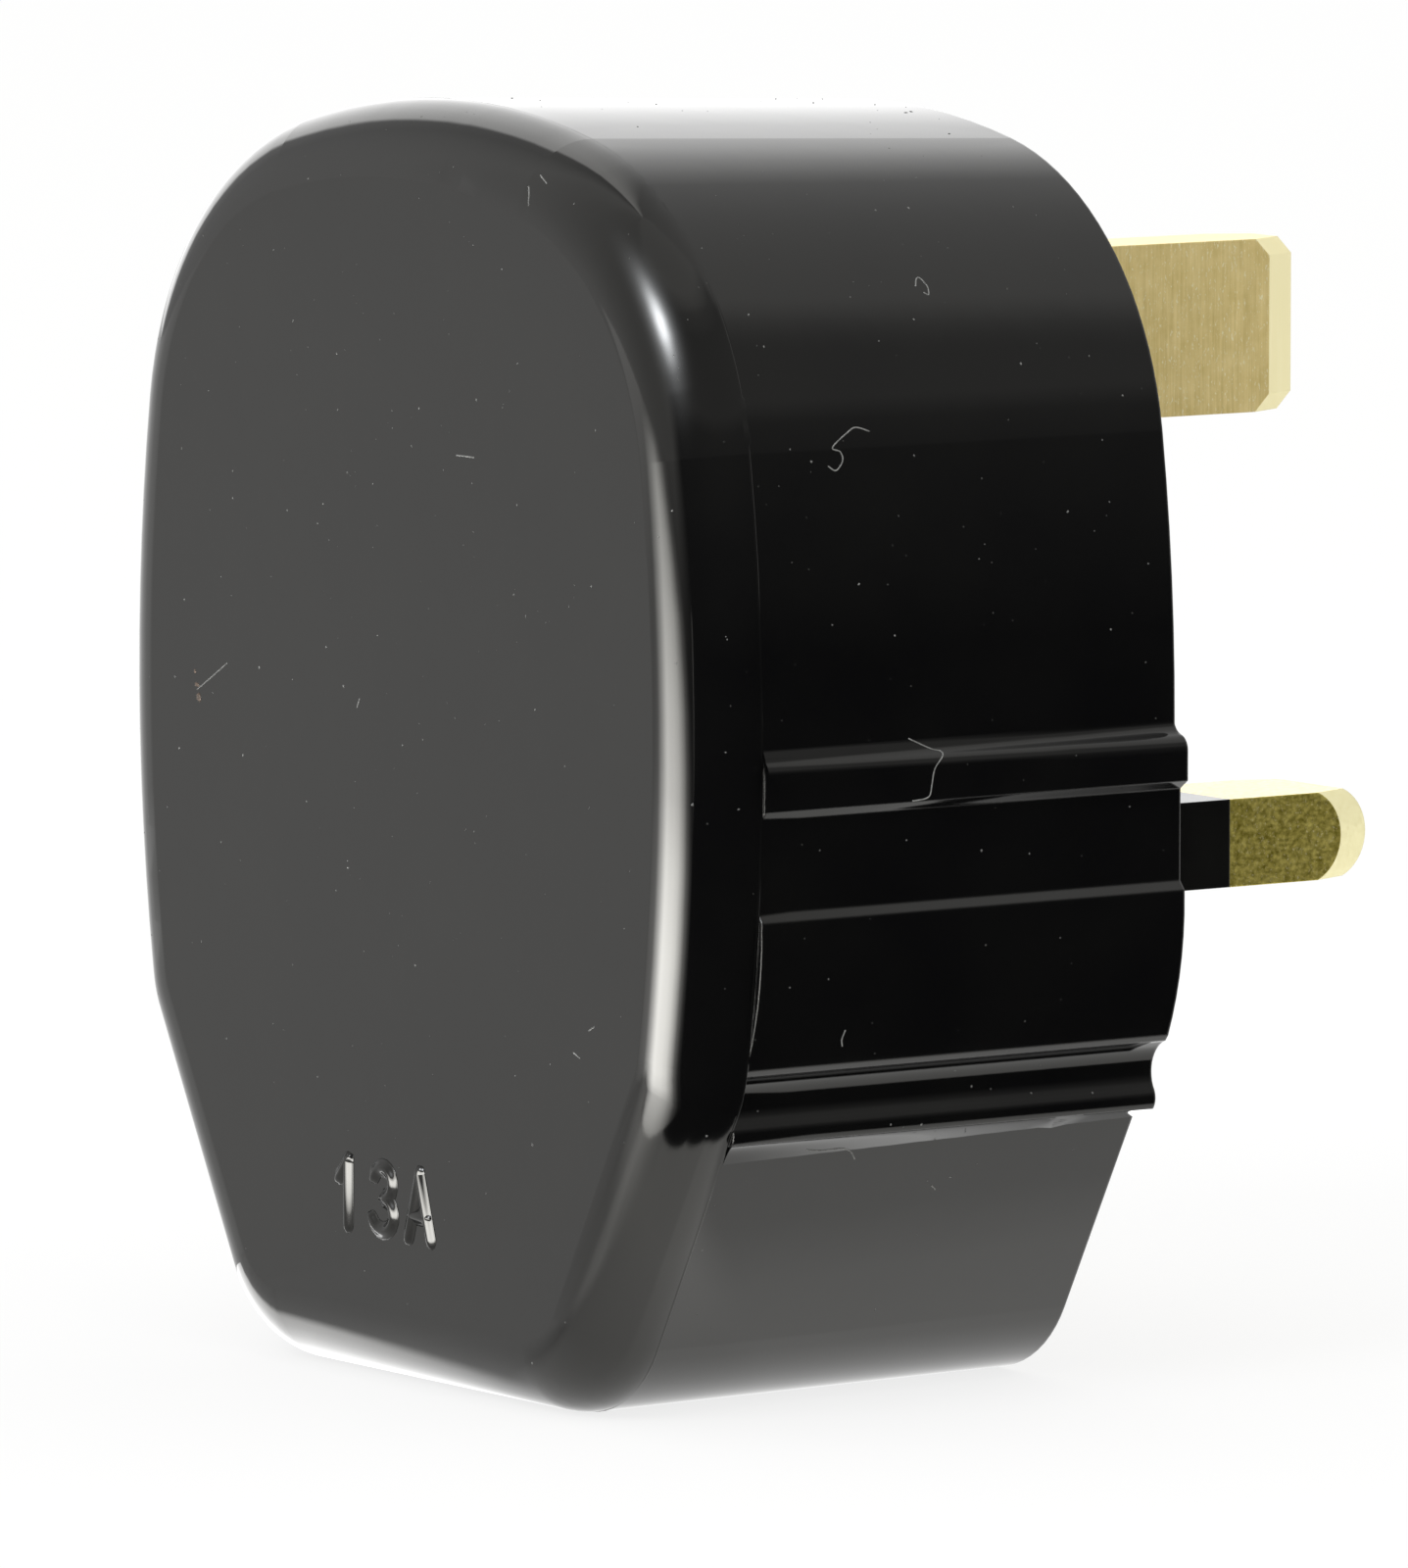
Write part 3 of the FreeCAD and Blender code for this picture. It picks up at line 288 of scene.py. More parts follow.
paint(clip_brass, "line_fuse_clip", "terminal_fuse_clip")
paint(terminal_brass, "line_terminal", "cover_insert", "terminal_screws")
paint(fuse_metal, "fuse_cap_lower", "fuse_cap_upper", "fuse_wire")
paint(screw_steel, "cover_screw", "cord_grip_screws")
paint(fuse_ceramic, "fuse_body")
paint(grey_fibre, "cord_grip", "screw_retainer")


# Details on the moulded cover

# How far out the lines start that find the cover's surface
OUTSIDE = 60
FLASH_OUTSIDE = 80
DUST_OUTSIDE = 90
carriers = []


def carry(mesh):
    """Let details lie on a mesh."""
    corners = [each.co for each in mesh.vertices]
    carriers.append(BVHTree.FromPolygons(corners, [each.vertices for each in mesh.polygons]))


carry(nodes["cover"].data)


def landing(start, way):
    """Where a line from a start first meets the moulding, and which way the surface faces there."""
    way = Vector(way).normalized()
    met = [each.ray_cast(Vector(start) * MM, way) for each in carriers]
    where, facing = min((each for each in met if each[0]), key=lambda each: each[3])[:2]
    return where / MM, facing if facing.dot(way) < 0 else -facing


def on_side(y, z, side=1):
    return landing((OUTSIDE * side, y, z), (-side, 0, 0))


def on_back(x, z):
    return landing((x, -OUTSIDE, z), (0, 1, 0))


def on_top(x, y):
    return landing((x, y, OUTSIDE), (0, 0, -1))


def detail(name, points, faces, material, slot, smooth=True):
    """A moulded or fallen detail that belongs to the object."""
    mesh = bpy.data.meshes.new(name)
    mesh.from_pydata([each * MM for each in points], [], faces)
    mesh.materials.append(material)
    mesh.polygons.foreach_set("use_smooth", [smooth] * len(mesh.polygons))
    thing = bpy.data.objects.new(name, mesh)
    bpy.context.collection.objects.link(thing)
    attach(thing, "root")
    return thing


def ring(sides):
    turn = [2 * math.pi * n / sides for n in range(sides)]
    return [(math.cos(each), math.sin(each)) for each in turn]


def ridge(steps=12, root_half=0.6, root=0.25):
    """A soft ridge in section, closed below the surface that carries it."""
    across = [1 - 2 * n / steps for n in range(steps + 1)]
    top = [(each, 0.5 + 0.5 * math.cos(math.pi * each)) for each in across]
    return top + [(-root_half, -root), (root_half, -root)]


# Where a bead's round ends have their sections, in degrees
CAP_ANGLES = (30, 60, 85)


def bead(points, faces, path, radius, height, section):
    """A round-ended bead along a path of (place, facing), in a section of width and height 1."""
    stations = []
    last = len(path) - 1
    for n, (where, facing) in enumerate(path):
        along = (path[min(n + 1, last)][0] - path[max(n - 1, 0)][0]).normalized()
        stations.append((where, along, facing, 1.0))
    first, final = stations[0], stations[-1]
    for angle in CAP_ANGLES:
        reach, size = math.sin(math.radians(angle)), math.cos(math.radians(angle))
        stations.insert(0, (first[0] - first[1] * radius * reach, first[1], first[2], size))
        stations.append((final[0] + final[1] * radius * reach, final[1], final[2], size))
    base, sides = len(points), len(section)
    for where, along, facing, size in stations:
        side = along.cross(facing).normalized()
        for aside, rise in section:
            points.append(where + side * (aside * radius * size) + facing * (rise * height * size))
    for station in range(len(stations) - 1):
        for n in range(sides):
            a = base + station * sides + n
            b = base + station * sides + (n + 1) % sides
            faces.append((a, a + sides, b + sides, b))
    faces.append(tuple(base + n for n in range(sides)))
    faces.append(tuple(base + (len(stations) - 1) * sides + n for n in reversed(range(sides))))


def flowing(corners, steps=5):
    """A smooth line through the corners of a strand."""
    ends = [corners[0], *corners, corners[-1]]
    line = []
    for n in range(len(corners) - 1):
        p, q, r, s = (Vector(each) for each in ends[n:n + 4])
        for step in range(steps):
            t = step / steps
            line.append((2 * q + (r - p) * t + (2 * p - 5 * q + 4 * r - s) * t * t
                         + (3 * q - p - 3 * r + s) * t * t * t) / 2)
    line.append(Vector(corners[-1]))
    return line


# The fine ridge of flash that the mould leaves round the cover, broken here and there, worn at the top
FLASH_MIDDLE = Vector((0, PARTING - 0.05, 5.0))
FLASH_HALF = 0.07
FLASH_HEIGHT = 0.06
FLASH_LEAST = 0.15
FLASH_SUNK = 0.01
FLASH_STEPS = 900
FLASH_HEIGHTS = 90
WORN_ABOVE = 30.5
WORN_SHARE = 0.2
SMEARED = (20.2, 22.4)
SMEARED_HALF = 0.2
FLASH_CORNERS = 5
chance = random.Random(4)
points, faces = [], []
heights = [chance.random() for n in range(FLASH_HEIGHTS)]
for n in range(FLASH_STEPS):
    angle = 2 * math.pi * n / FLASH_STEPS
    out = Vector((math.cos(angle), 0, math.sin(angle)))
    where, facing = landing(FLASH_MIDDLE + out * FLASH_OUTSIDE, -out)
    share = n / FLASH_STEPS * len(heights)
    low, high = heights[int(share)], heights[(int(share) + 1) % len(heights)]
    height = FLASH_HEIGHT * max(FLASH_LEAST, low + (high - low) * (share % 1))
    if where.z > WORN_ABOVE:
        height *= WORN_SHARE
    half = SMEARED_HALF if out.x > 0 and SMEARED[0] < where.z < SMEARED[1] else FLASH_HALF
    # The foot's two corners come twice, so that its underside is shaded apart
    for aside, rise in ((-half, -FLASH_SUNK), (0, height), (half, -FLASH_SUNK), (half, -FLASH_SUNK),
                        (-half, -FLASH_SUNK)):
        points.append(where + Vector((0, aside, 0)) + facing * rise)
for n in range(FLASH_STEPS):
    a, b = FLASH_CORNERS * n, FLASH_CORNERS * ((n + 1) % FLASH_STEPS)
    for each in (0, 1, 3):
        faces.append((a + each, a + each + 1, b + each + 1, b + each))
flash_black = moulding("flash_black", dark=(0.004, 0.004, 0.0042), light=(0.006, 0.006, 0.006),
                       shine=0.14, dull=0.24, peel=0.002)
detail("flash_line", points, faces, flash_black, "black_moulding")


def skin(points, faces, rows):
    """A skin through rows of points."""
    base, wide = len(points), len(rows[0])
    for row in rows:
        points.extend(row)
    for n in range(len(rows) - 1):
        for each in range(wide - 1):
            a = base + n * wide + each
            faces.append((a, a + 1, a + wide + 1, a + wide))


def rim(rows):
    """The points round the edge of a skin."""
    return rows[0] + [row[-1] for row in rows[1:]] + rows[-1][-2::-1] + [row[0] for row in rows[-2:0:-1]]


def slab(points, faces, outer, inner, side):
    """A closed form between two skins on one side; its rim has points of its own, to stay crisp."""
    if side < 0:
        outer, inner = [row[::-1] for row in outer], [row[::-1] for row in inner]
    skin(points, faces, outer)
    skin(points, faces, [row[::-1] for row in inner])
    above, below = rim(outer), rim(inner)
    for n in range(len(above)):
        base, after = len(points), (n + 1) % len(above)
        points.extend((above[after], above[n], below[n], below[after]))
        faces.append((base, base + 1, base + 2, base + 3))


# The bar's swelled crest, which runs out where the bar stands clear of the drafted wall
SWELL_ENDS = (PARTING + 0.02, -7.0)
SWELL_TOP = 7.0
SWELL_CREST = 6.05
SWELL_BASE = 4.75
SWELL_RISE = 0.28
SWELL_FADE = 0.7
SWELL_STEEP = (0.3, 1.0, 1.3, 0.8, 0.6, 1.1, 1.4, 1.2, 0.7, 0.2)
BAR_END = -0.15

# The skin that carries it stands out a little, but dips in at its rim, and reaches some way into the bar
SKIN_OVER = 0.02
SKIN_DIP = 0.004
SKIN_EASE = 5
SKIN_DEEP = 0.1
ROWS, COLUMNS = 30, 44
SMOOTHINGS = 3
levels = [SWELL_TOP + (SWELL_BASE - SWELL_TOP) * each / COLUMNS for each in range(COLUMNS + 1)]


def swell(z):
    """How far the crest stands out at a height, as a share of its rise."""
    if z < SWELL_CREST:
        return 0.5 + 0.5 * math.cos(math.pi * (SWELL_CREST - z) / (SWELL_CREST - SWELL_BASE))
    down = (SWELL_TOP - z) / (SWELL_TOP - SWELL_CREST) * len(SWELL_STEEP)
    whole = min(int(down), len(SWELL_STEEP) - 1)
    return (sum(SWELL_STEEP[:whole]) + (down - whole) * SWELL_STEEP[whole]) / sum(SWELL_STEEP)


def bar_section(side, y):
    """How far out the bar's crest lies at each level, evened out."""
    out = [on_side(y, z, side)[0].x for z in levels]
    for times in range(SMOOTHINGS):
        out[1:-1] = [(a + 2 * b + c) / 4 for a, b, c in zip(out, out[1:], out[2:])]
    return out


points, faces = [], []
for side in (1, -1):
    first, last = bar_section(side, SWELL_ENDS[0]), bar_section(side, BAR_END)
    outer, inner = [], []
    for n in range(ROWS + 1):
        along = n / ROWS
        y = SWELL_ENDS[0] + (BAR_END - SWELL_ENDS[0]) * along
        share = max(0, (SWELL_ENDS[1] - y) / (SWELL_ENDS[1] - SWELL_ENDS[0])) ** SWELL_FADE
        crest, root = [], []
        for each, z in enumerate(levels):
            bar = first[each] + (last[each] - first[each]) * along
            over = SKIN_OVER * min(1, SKIN_EASE * min(each, COLUMNS - each) / COLUMNS)
            out = SWELL_RISE * share * swell(z) + over - SKIN_DIP
            crest.append(Vector((bar + side * out, y, z)))
            root.append(Vector((bar - side * SKIN_DEEP, y, z)))
        outer.append(crest)
        inner.append(root)
    slab(points, faces, outer, inner, side)
moulded_black = moulding("moulded_black", **COVER_BLACK, peel=0.003)
bar_crests = detail("bar_crests", points, faces, moulded_black, "black_moulding")

# The hollow fillet under the lowest bead, which runs into the flank
FILLET_TOP = -9.0
FILLET_SEARCH = 5.0
FILLET_STEPS = 250
FILLET_SIZES = (0.85, 0.5)
FILLET_ENDS = (PARTING + 0.05, -0.03)
FILLET_LIFT = 0.004
FILLET_CURVE = [each / 12 for each in range(13)]
points, faces = [], []
for side in (1, -1):
    outer, inner = [], []
    for n in range(ROWS + 1):
        share = n / ROWS
        y = FILLET_ENDS[0] + (FILLET_ENDS[1] - FILLET_ENDS[0]) * share
        heights = [FILLET_TOP - FILLET_SEARCH * each / FILLET_STEPS for each in range(FILLET_STEPS + 1)]
        walk = [on_side(y, z, side)[0] for z in heights]
        drop = max(range(FILLET_STEPS), key=lambda each: abs(walk[each].x - walk[each + 1].x))
        edge, corner = walk[drop], walk[drop + 1]
        size = FILLET_SIZES[0] + (FILLET_SIZES[1] - FILLET_SIZES[0]) * share
        foot = min(walk[drop + 1:], key=lambda each: abs(each.z - (corner.z - size)))
        lift = Vector((FILLET_LIFT * side, 0, 0))
        hollow, root = [], []
        for t in FILLET_CURVE:
            hollow.append(edge * (1 - t) ** 2 + corner * (2 * t * (1 - t)) + foot * t ** 2 + lift)
            root.append((edge.lerp(corner, 2 * t) if t < 0.5 else corner.lerp(foot, 2 * t - 1)) - lift)
        outer.append(hollow)
        inner.append(root)
    slab(points, faces, outer, inner, side)
bead_fillets = detail("bead_fillets", points, faces, moulded_black, "black_moulding")
carry(bar_crests.data)
carry(bead_fillets.data)

# A raised current rating on the back
MARK_MIDDLE = (-1.0, -15.2)
MARK_WIDE = 1.75
MARK_TALL = 2.85
MARK_PITCH = 2.9
STROKE_HALF = 0.44
STROKE_HEIGHT = 0.24


def bow(middle, wide, tall, start, end, steps=12):
    turn = [math.radians(start + (end - start) * n / steps) for n in range(steps + 1)]
    return [(middle[0] + wide * math.cos(each), middle[1] + tall * math.sin(each)) for each in turn]


SIGNS = (
    [[(0.12, 0.74), (0.5, 1.0)], [(0.5, 1.0), (0.5, 0.0)]],
    [bow((0.47, 0.76), 0.43, 0.24, 155, -90) + bow((0.45, 0.26), 0.51, 0.26, 90, -155)],
    [[(0.0, 0.0), (0.5, 1.0)], [(0.5, 1.0), (1.0, 0.0)], [(0.2, 0.34), (0.8, 0.34)]],
)
points, faces = [], []
for n, strokes in enumerate(SIGNS):
    left = MARK_MIDDLE[0] + (n - (len(SIGNS) - 1) / 2) * MARK_PITCH - MARK_WIDE / 2
    low = MARK_MIDDLE[1] - MARK_TALL / 2
    for stroke in strokes:
        path = [on_back(left + u * MARK_WIDE, low + v * MARK_TALL) for u, v in stroke]
        bead(points, faces, path, STROKE_HALF, STROKE_HEIGHT, ridge())
detail("rating_mark", points, faces, moulded_black, "black_moulding")

# Lint and hairs lying on the right side, as (y, z), and on the back, as (x, z)
SIDE_LINT = (
    ((-11.8, 26.5), (-11.6, 26.8), (-11.4, 26.8), (-11.2, 26.5), (-11.2, 26.3), (-11.3, 26.1), (-11.5, 26.2)),
    ((-16.3, 20.5), (-17.0, 20.7), (-17.5, 20.5), (-18.4, 19.9), (-18.0, 19.7), (-17.9, 19.3), (-18.3, 18.9),
     (-18.7, 19.1)),
    ((-14.9, 7.0), (-13.8, 6.5), (-13.3, 6.3), (-13.9, 5.7), (-14.0, 4.8), (-14.2, 4.4), (-15.0, 4.3)),
    ((-18.4, -11.2), (-17.6, -11.3), (-17.0, -11.3), (-16.4, -11.3), (-15.8, -11.5), (-15.4, -11.9)),
    ((-18.0, -5.7), (-18.1, -6.1), (-18.0, -6.4)),
    ((-10.4, -13.6), (-10.1, -13.8)),
)
BACK_LINT = (
    ((-2.9, 7.2), (-3.1, 6.8)),
    ((4.9, 18.7), (5.7, 18.7), (6.3, 18.7)),
    ((10.2, 30.9), (10.4, 30.5), (10.5, 30.1)),
    ((10.6, 31.4), (11.2, 31.1)),
    ((14.1, -7.0), (14.6, -7.2)),
    ((15.3, -5.9), (15.7, -5.7)),
    ((-16.3, 6.5), (-15.2, 7.1), (-13.8, 7.9)),
)
LINT_HALF = 0.033
LINT_SIDES = 6
points, faces = [], []
for strands, lay in ((SIDE_LINT, on_side), (BACK_LINT, on_back)):
    for strand in strands:
        path = [lay(*each) for each in flowing(strand)]
        bead(points, faces, path, LINT_HALF, LINT_HALF, ring(LINT_SIDES))
grey_lint = matt("grey_lint", dark=(0.12, 0.12, 0.115), light=(0.32, 0.32, 0.31),
                 size=0.4, roughness=0.7, depth=0.002)
detail("lint", points, faces, grey_lint, "black_moulding")

# How uneven a crumb's rim is, and how deep the rim sits, as shares of the crumb's size and height
FLAKE_RAGGED = (0.7, 1.15)
FLAKE_SUNK = 0.2


def flake(points, faces, where, facing, wide, tall, rise, chance, count=9):
    """A flat uneven crumb that lies on a surface, thin at its rim."""
    side = facing.orthogonal().normalized()
    up = facing.cross(side)
    turn = chance.uniform(0, 2 * math.pi)
    base = len(points)
    points.append(where + facing * rise)
    for n in range(count):
        angle = 2 * math.pi * n / count
        size = chance.uniform(*FLAKE_RAGGED)
        u, v = math.cos(angle) * wide * size, math.sin(angle) * tall * size
        points.append(where + side * (u * math.cos(turn) - v * math.sin(turn))
                      + up * (u * math.sin(turn) + v * math.cos(turn)) - facing * (rise * FLAKE_SUNK))
    for n in range(count):
        faces.append((base, base + 1 + n, base + 1 + (n + 1) % count))
    points.extend(points[base + 1:base + 1 + count])
    faces.append(tuple(base + count + n for n in range(count, 0, -1)))


# Fine dust all over the cover but for its pin face, from a fixed seed
DUST_COUNT = 900
DUST_LIFT = (-0.25, 1)
DUST_AIM = ((-13, 13), (-21, -4), (-18, 27))
DUST_LEAST = 0.035
DUST_MORE = 0.06
DUST_FORWARD = 0.5
chance = random.Random(11)
points, faces = [], []
for n in range(DUST_COUNT):
    azimuth, lift = chance.uniform(0, 2 * math.pi), chance.uniform(*DUST_LIFT)
    out = Vector((math.cos(azimuth), math.sin(azimuth), lift)).normalized()
    aim = Vector([chance.uniform(*each) for each in DUST_AIM])
    where, facing = landing(aim + out * DUST_OUTSIDE, -out)
    size = DUST_LEAST + DUST_MORE * chance.random() ** 3
    if facing.y < DUST_FORWARD:
        flake(points, faces, where, facing, size, size * chance.uniform(0.6, 1), size * 0.4, chance)
pale_dust = matt("pale_dust", dark=(0.1, 0.1, 0.095), light=(0.3, 0.3, 0.29),
                 size=3.0, roughness=0.75, depth=0.001)
detail("dust", points, faces, pale_dust, "black_moulding", False)

# A brown smear at the left of the back, as (x, z, half width, half height), and dark crumbs on the top
SMEAR = ((-16.2, 6.15, 0.32, 0.26), (-16.35, 6.7, 0.16, 0.3), (-16.5, 7.3, 0.14, 0.16))
SMEAR_RISE = 0.015
SMEAR_CORNERS = 14
CRUMBS = ((5.2, -2.2, 0.2), (4.9, -1.7, 0.13), (-6.0, -9.0, 0.08), (2.5, -14.0, 0.07), (-1.0, -5.0, 0.07))
CRUMB_RISE = 0.03
CRUMB_NARROW = 0.6
points, faces = [], []
for x, z, wide, tall in SMEAR:
    flake(points, faces, *on_back(x, z), wide, tall, SMEAR_RISE, chance, SMEAR_CORNERS)
brown_smear = matt("brown_smear", dark=(0.05, 0.036, 0.024), light=(0.11, 0.07, 0.045),
                   size=0.3, roughness=0.5, depth=0.002)
detail("smear", points, faces, brown_smear, "black_moulding")
points, faces = [], []
for x, y, size in CRUMBS:
    flake(points, faces, *on_top(x, y), size, size * CRUMB_NARROW, CRUMB_RISE, chance)
dark_crumb = matt("dark_crumb", dark=(0.012, 0.011, 0.01), light=(0.03, 0.028, 0.025),
                  size=0.2, roughness=0.8, depth=0.002)
detail("crumbs", points, faces, dark_crumb, "black_moulding")


# Studio

PLAIN = (1.0, 1.0, 1.0)
COOL = (0.94, 0.98, 1.06)
WHITE = 0.82
FLOOR_REACH = 6000
FLOOR_PALE = (0.8, 0.8, 0.79, 1)
FLOOR_SEEN = (0.2, 0.2, 0.2, 1)
FLOOR_GLOW = 0.81


def around(azimuth, elevation, distance):
    a, e = math.radians(azimuth), math.radians(elevation)
    return Vector((math.cos(e) * math.cos(a), math.cos(e) * math.sin(a), math.sin(e))) * distance


def card(name, points, faces, material, mirrored_only=True):
    """A stage surface, seen only in reflections unless it is the floor."""
    mesh = bpy.data.meshes.new(name)
    mesh.from_pydata([Vector(each) * MM for each in points], [], faces)
    mesh.materials.append(material)
    thing = bpy.data.objects.new(name, mesh)
    bpy.context.collection.objects.link(thing)
    if mirrored_only:
        thing.visible_camera = False
        thing.visible_diffuse = False
        thing.visible_shadow = False
        thing.visible_transmission = False
        thing.visible_volume_scatter = False
    return thing


def flat_card(name, outline, height, material, mirrored_only=True):
    """A level stage surface with an outline of (x, y)."""
    points = [(x, y, height) for x, y in outline]
    return card(name, points, [tuple(range(len(points)))], material, mirrored_only)


def sum_of(tree, first, second):
    made = add(tree, "ShaderNodeAddShader")
    tree.links.new(first, made.inputs[0])
    tree.links.new(second, made.inputs[1])
    return made.outputs[0]


def floor_material():
    """White for the eye and for mirrors, plain pale for the light that it throws back."""
    material, tree, shader = new_material("floor")
    tree.nodes.remove(shader)
    path = add(tree, "ShaderNodeLightPath")
    seen = math_node(tree, "MAXIMUM", path.outputs["Is Camera Ray"], path.outputs["Is Glossy Ray"])
    seen = math_node(tree, "MAXIMUM", seen, path.outputs["Is Transmission Ray"])
    pale = add(tree, "ShaderNodeBsdfDiffuse")
    pale.inputs["Color"].default_value = FLOOR_PALE
    half = add(tree, "ShaderNodeBsdfDiffuse")
    half.inputs["Color"].default_value = FLOOR_SEEN
    glow = add(tree, "ShaderNodeEmission")
    glow.inputs["Strength"].default_value = FLOOR_GLOW
    pick = add(tree, "ShaderNodeMixShader")
    tree.links.new(seen, pick.inputs[0])
    tree.links.new(pale.outputs[0], pick.inputs[1])
    tree.links.new(sum_of(tree, half.outputs[0], glow.outputs[0]), pick.inputs[2])
    tree.links.new(pick.outputs[0], tree.nodes["Material Output"].inputs["Surface"])
    return material


def glow_material(name, *layers):
    """A glow that is the sum of its layers: each a strength, or one worked out from nodes, and a tint."""
    material, tree, shader = new_material(name)
    tree.nodes.remove(shader)
    total = None
    for strength, tint in layers:
        glow = add(tree, "ShaderNodeEmission")
        glow.inputs["Color"].default_value = (*tint, 1)
        feed(tree, glow.inputs["Strength"], strength(tree) if callable(strength) else strength)
        total = sum_of(tree, total, glow.outputs[0]) if total else glow.outputs[0]
    tree.links.new(total, tree.nodes["Material Output"].inputs["Surface"])
    return material


# How bright the room's walls are, by azimuth in degrees: the lit curtain at the left rear ends sharply
ROOM_TOP = 4
ROOM = ((0, WHITE), (62, 0.87), (100, 0.8), (121, 0.8), (133, 1.4), (142, 1.75), (160, 2.2), (177, 2.3),
        (181, 0.6), (192, 0.64), (203, 0.85), (213, 1.04), (232, 1.04), (255, 0.88), (285, WHITE),
        (360, WHITE))

# The room's dark side: the azimuth of its middle, the cosines at its soft edge, and its levels by height
FLAG_MIDDLE = 350
FLAG_EDGE = (math.cos(math.radians(72)), math.cos(math.radians(58)))
FLAG_SHADE = ((0.5, 0.02), (0.55, 0.07), (0.6, 0.14), (0.645, 0.2), (0.69, 0.38), (0.86, 0.36), (0.9, 0.5),
              (0.94, 1.0))
DOME_RADIUS = 3000
DOME_LOW = -10
DOME_RISE = 100

# The lamp's azimuth and elevation, and the spread in degrees and the strength of its halo and its core
LAMP = (290, 38.5)
LAMP_HALO = (13, 8)
LAMP_CORE = (7, 26)


def surround(tree):
    """A white room with a lit curtain at the left rear and a dark side behind the camera."""
    vector = vector_node(tree, "NORMALIZE", coordinates(tree))
    x, y, z = split(tree, vector)
    angle = math_node(tree, "ARCTAN2", y, x)
    turn = math_node(tree, "FRACT", math_node(tree, "DIVIDE", angle, 2 * math.pi))
    walls = ramp(tree, turn, *((azimuth / 360, level / ROOM_TOP) for azimuth, level in ROOM))
    level = vector_node(tree, "NORMALIZE", vector_node(tree, "MULTIPLY", vector, (1, 1, 0)))
    facing = vector_node(tree, "DOT_PRODUCT", level, around(FLAG_MIDDLE, 0, 1))
    height = math_node(tree, "MULTIPLY_ADD", z, 0.5, 0.5)
    share = span(tree, facing, *FLAG_EDGE, True)
    lit = math_node(tree, "MULTIPLY", walls, ROOM_TOP)
    return mix(tree, "FLOAT", share, lit, ramp(tree, height, *FLAG_SHADE))


def glow_round(tree, vector, spread, strength):
    """A soft round light where the lamp is, fading over a spread in degrees."""
    near = vector_node(tree, "DOT_PRODUCT", vector, around(*LAMP, 1))
    off = math_node(tree, "SUBTRACT", near, 1)
    scaled = math_node(tree, "DIVIDE", off, 1 - math.cos(math.radians(spread)))
    return math_node(tree, "MULTIPLY", math_node(tree, "EXPONENT", scaled), strength)


def lamp_glow(tree):
    """The lamp as the gloss shows it: a bright core in a softer halo."""
    vector = vector_node(tree, "NORMALIZE", coordinates(tree))
    return math_node(tree, "ADD", glow_round(tree, vector, *LAMP_HALO), glow_round(tree, vector, *LAMP_CORE))


def dome(rings=24, sides=48):
    points, faces = [], []
    for row in range(rings + 1):
        for step in range(sides):
            points.append(around(360 * step / sides, DOME_LOW + DOME_RISE * row / rings, DOME_RADIUS))
    for row in range(rings):
        for step in range(sides):
            a = row * sides + step
            b = row * sides + (step + 1) % sides
            faces.append((a, b, b + sides, a + sides))
    return points, faces


FLOOR_OUTLINE = [(-FLOOR_REACH, -FLOOR_REACH), (FLOOR_REACH, -FLOOR_REACH), (FLOOR_REACH, FLOOR_REACH),
                 (-FLOOR_REACH, FLOOR_REACH)]
flat_card("floor", FLOOR_OUTLINE, FLOOR, floor_material(), False)
card("surround", *dome(), glow_material("surround", (surround, PLAIN), (lamp_glow, COOL)))

# The table is dark on the right, bright close to the foot and flank, and brightest beside the rounded edge
DARK_FLOOR = [(34.5, 60), (34.5, -6), (27.5, -13), (28.1, -17.4), (28.6, -21.5), (28.6, -24), (27.5, -30.3),
              (24.5, -37), (21.6, -43), (27, -55), (90, -200), (1400, -3300), (3600, -800), (3600, 2500),
              (1800, 3500), (60, 90)]
NEAR_FLOOR = [(-30, -36), (-40, -58), (-22, -83.5), (0, -62.5), (9, -54.5), (16, -47.8), (21.5, -43),
              (24.4, -37), (27.4, -30.3), (28.5, -24), (28.5, -21.5), (28, -17.4), (27.4, -13), (34.4, -6),
              (34.4, 26), (-30, 26)]
DARK_LEVEL = 0.01
NEAR_HEIGHT = FLOOR + 0.1
DARK_HEIGHT = FLOOR + 0.2

# The bright strip along the foot: where it ends behind, in mm, and how softly
STRIP_EDGE = -26.36
STRIP_SLANT = 0.112
STRIP_SOFT = 0.6

# How bright the near floor is by x: behind the corner, behind the strip, on it, and ahead beside the flank
NEAR_TOP = 4
NEAR_HALF = 30
CORNER = ((-10, 1.02), (-3, 1.1), (2, 1.15), (5, 1.3), (8.5, 1.85), (11.8, 2.1), (14.5, 1.75), (17, 1.6),
          (20, 1.55), (22, 1.6), (24.5, 1.85), (30, 1.8))
BEHIND_STRIP = ((-10, 1.0), (-3, 1.0), (2, 0.93), (6, 0.87), (9, 1.2), (16, 1.5), (22, 1.75), (30, 1.7))
ON_STRIP = ((-10, 3.6), (-2, 2.6), (2, 2.1), (6, 1.5), (10, 1.15), (16, 1.6), (22, 2.0), (30, 1.9))
AHEAD_STRIP = ((-10, 3.6), (-2, 2.6), (2, 2.1), (6, 1.5), (10, 1.15), (16, 1.7), (19, 1.6), (22, 1.3),
               (30, 1.2))
CORNER_TO = (-41, -36)
AHEAD_FROM = (-17.5, -14)

# It brightens towards the slope's foot: by how much, from what share of the way there, and less to the right
RISE = 0.8
RISE_FROM = 0.4
RISE_LEFT = ((0.76, 1.0), (0.87, 0.0))

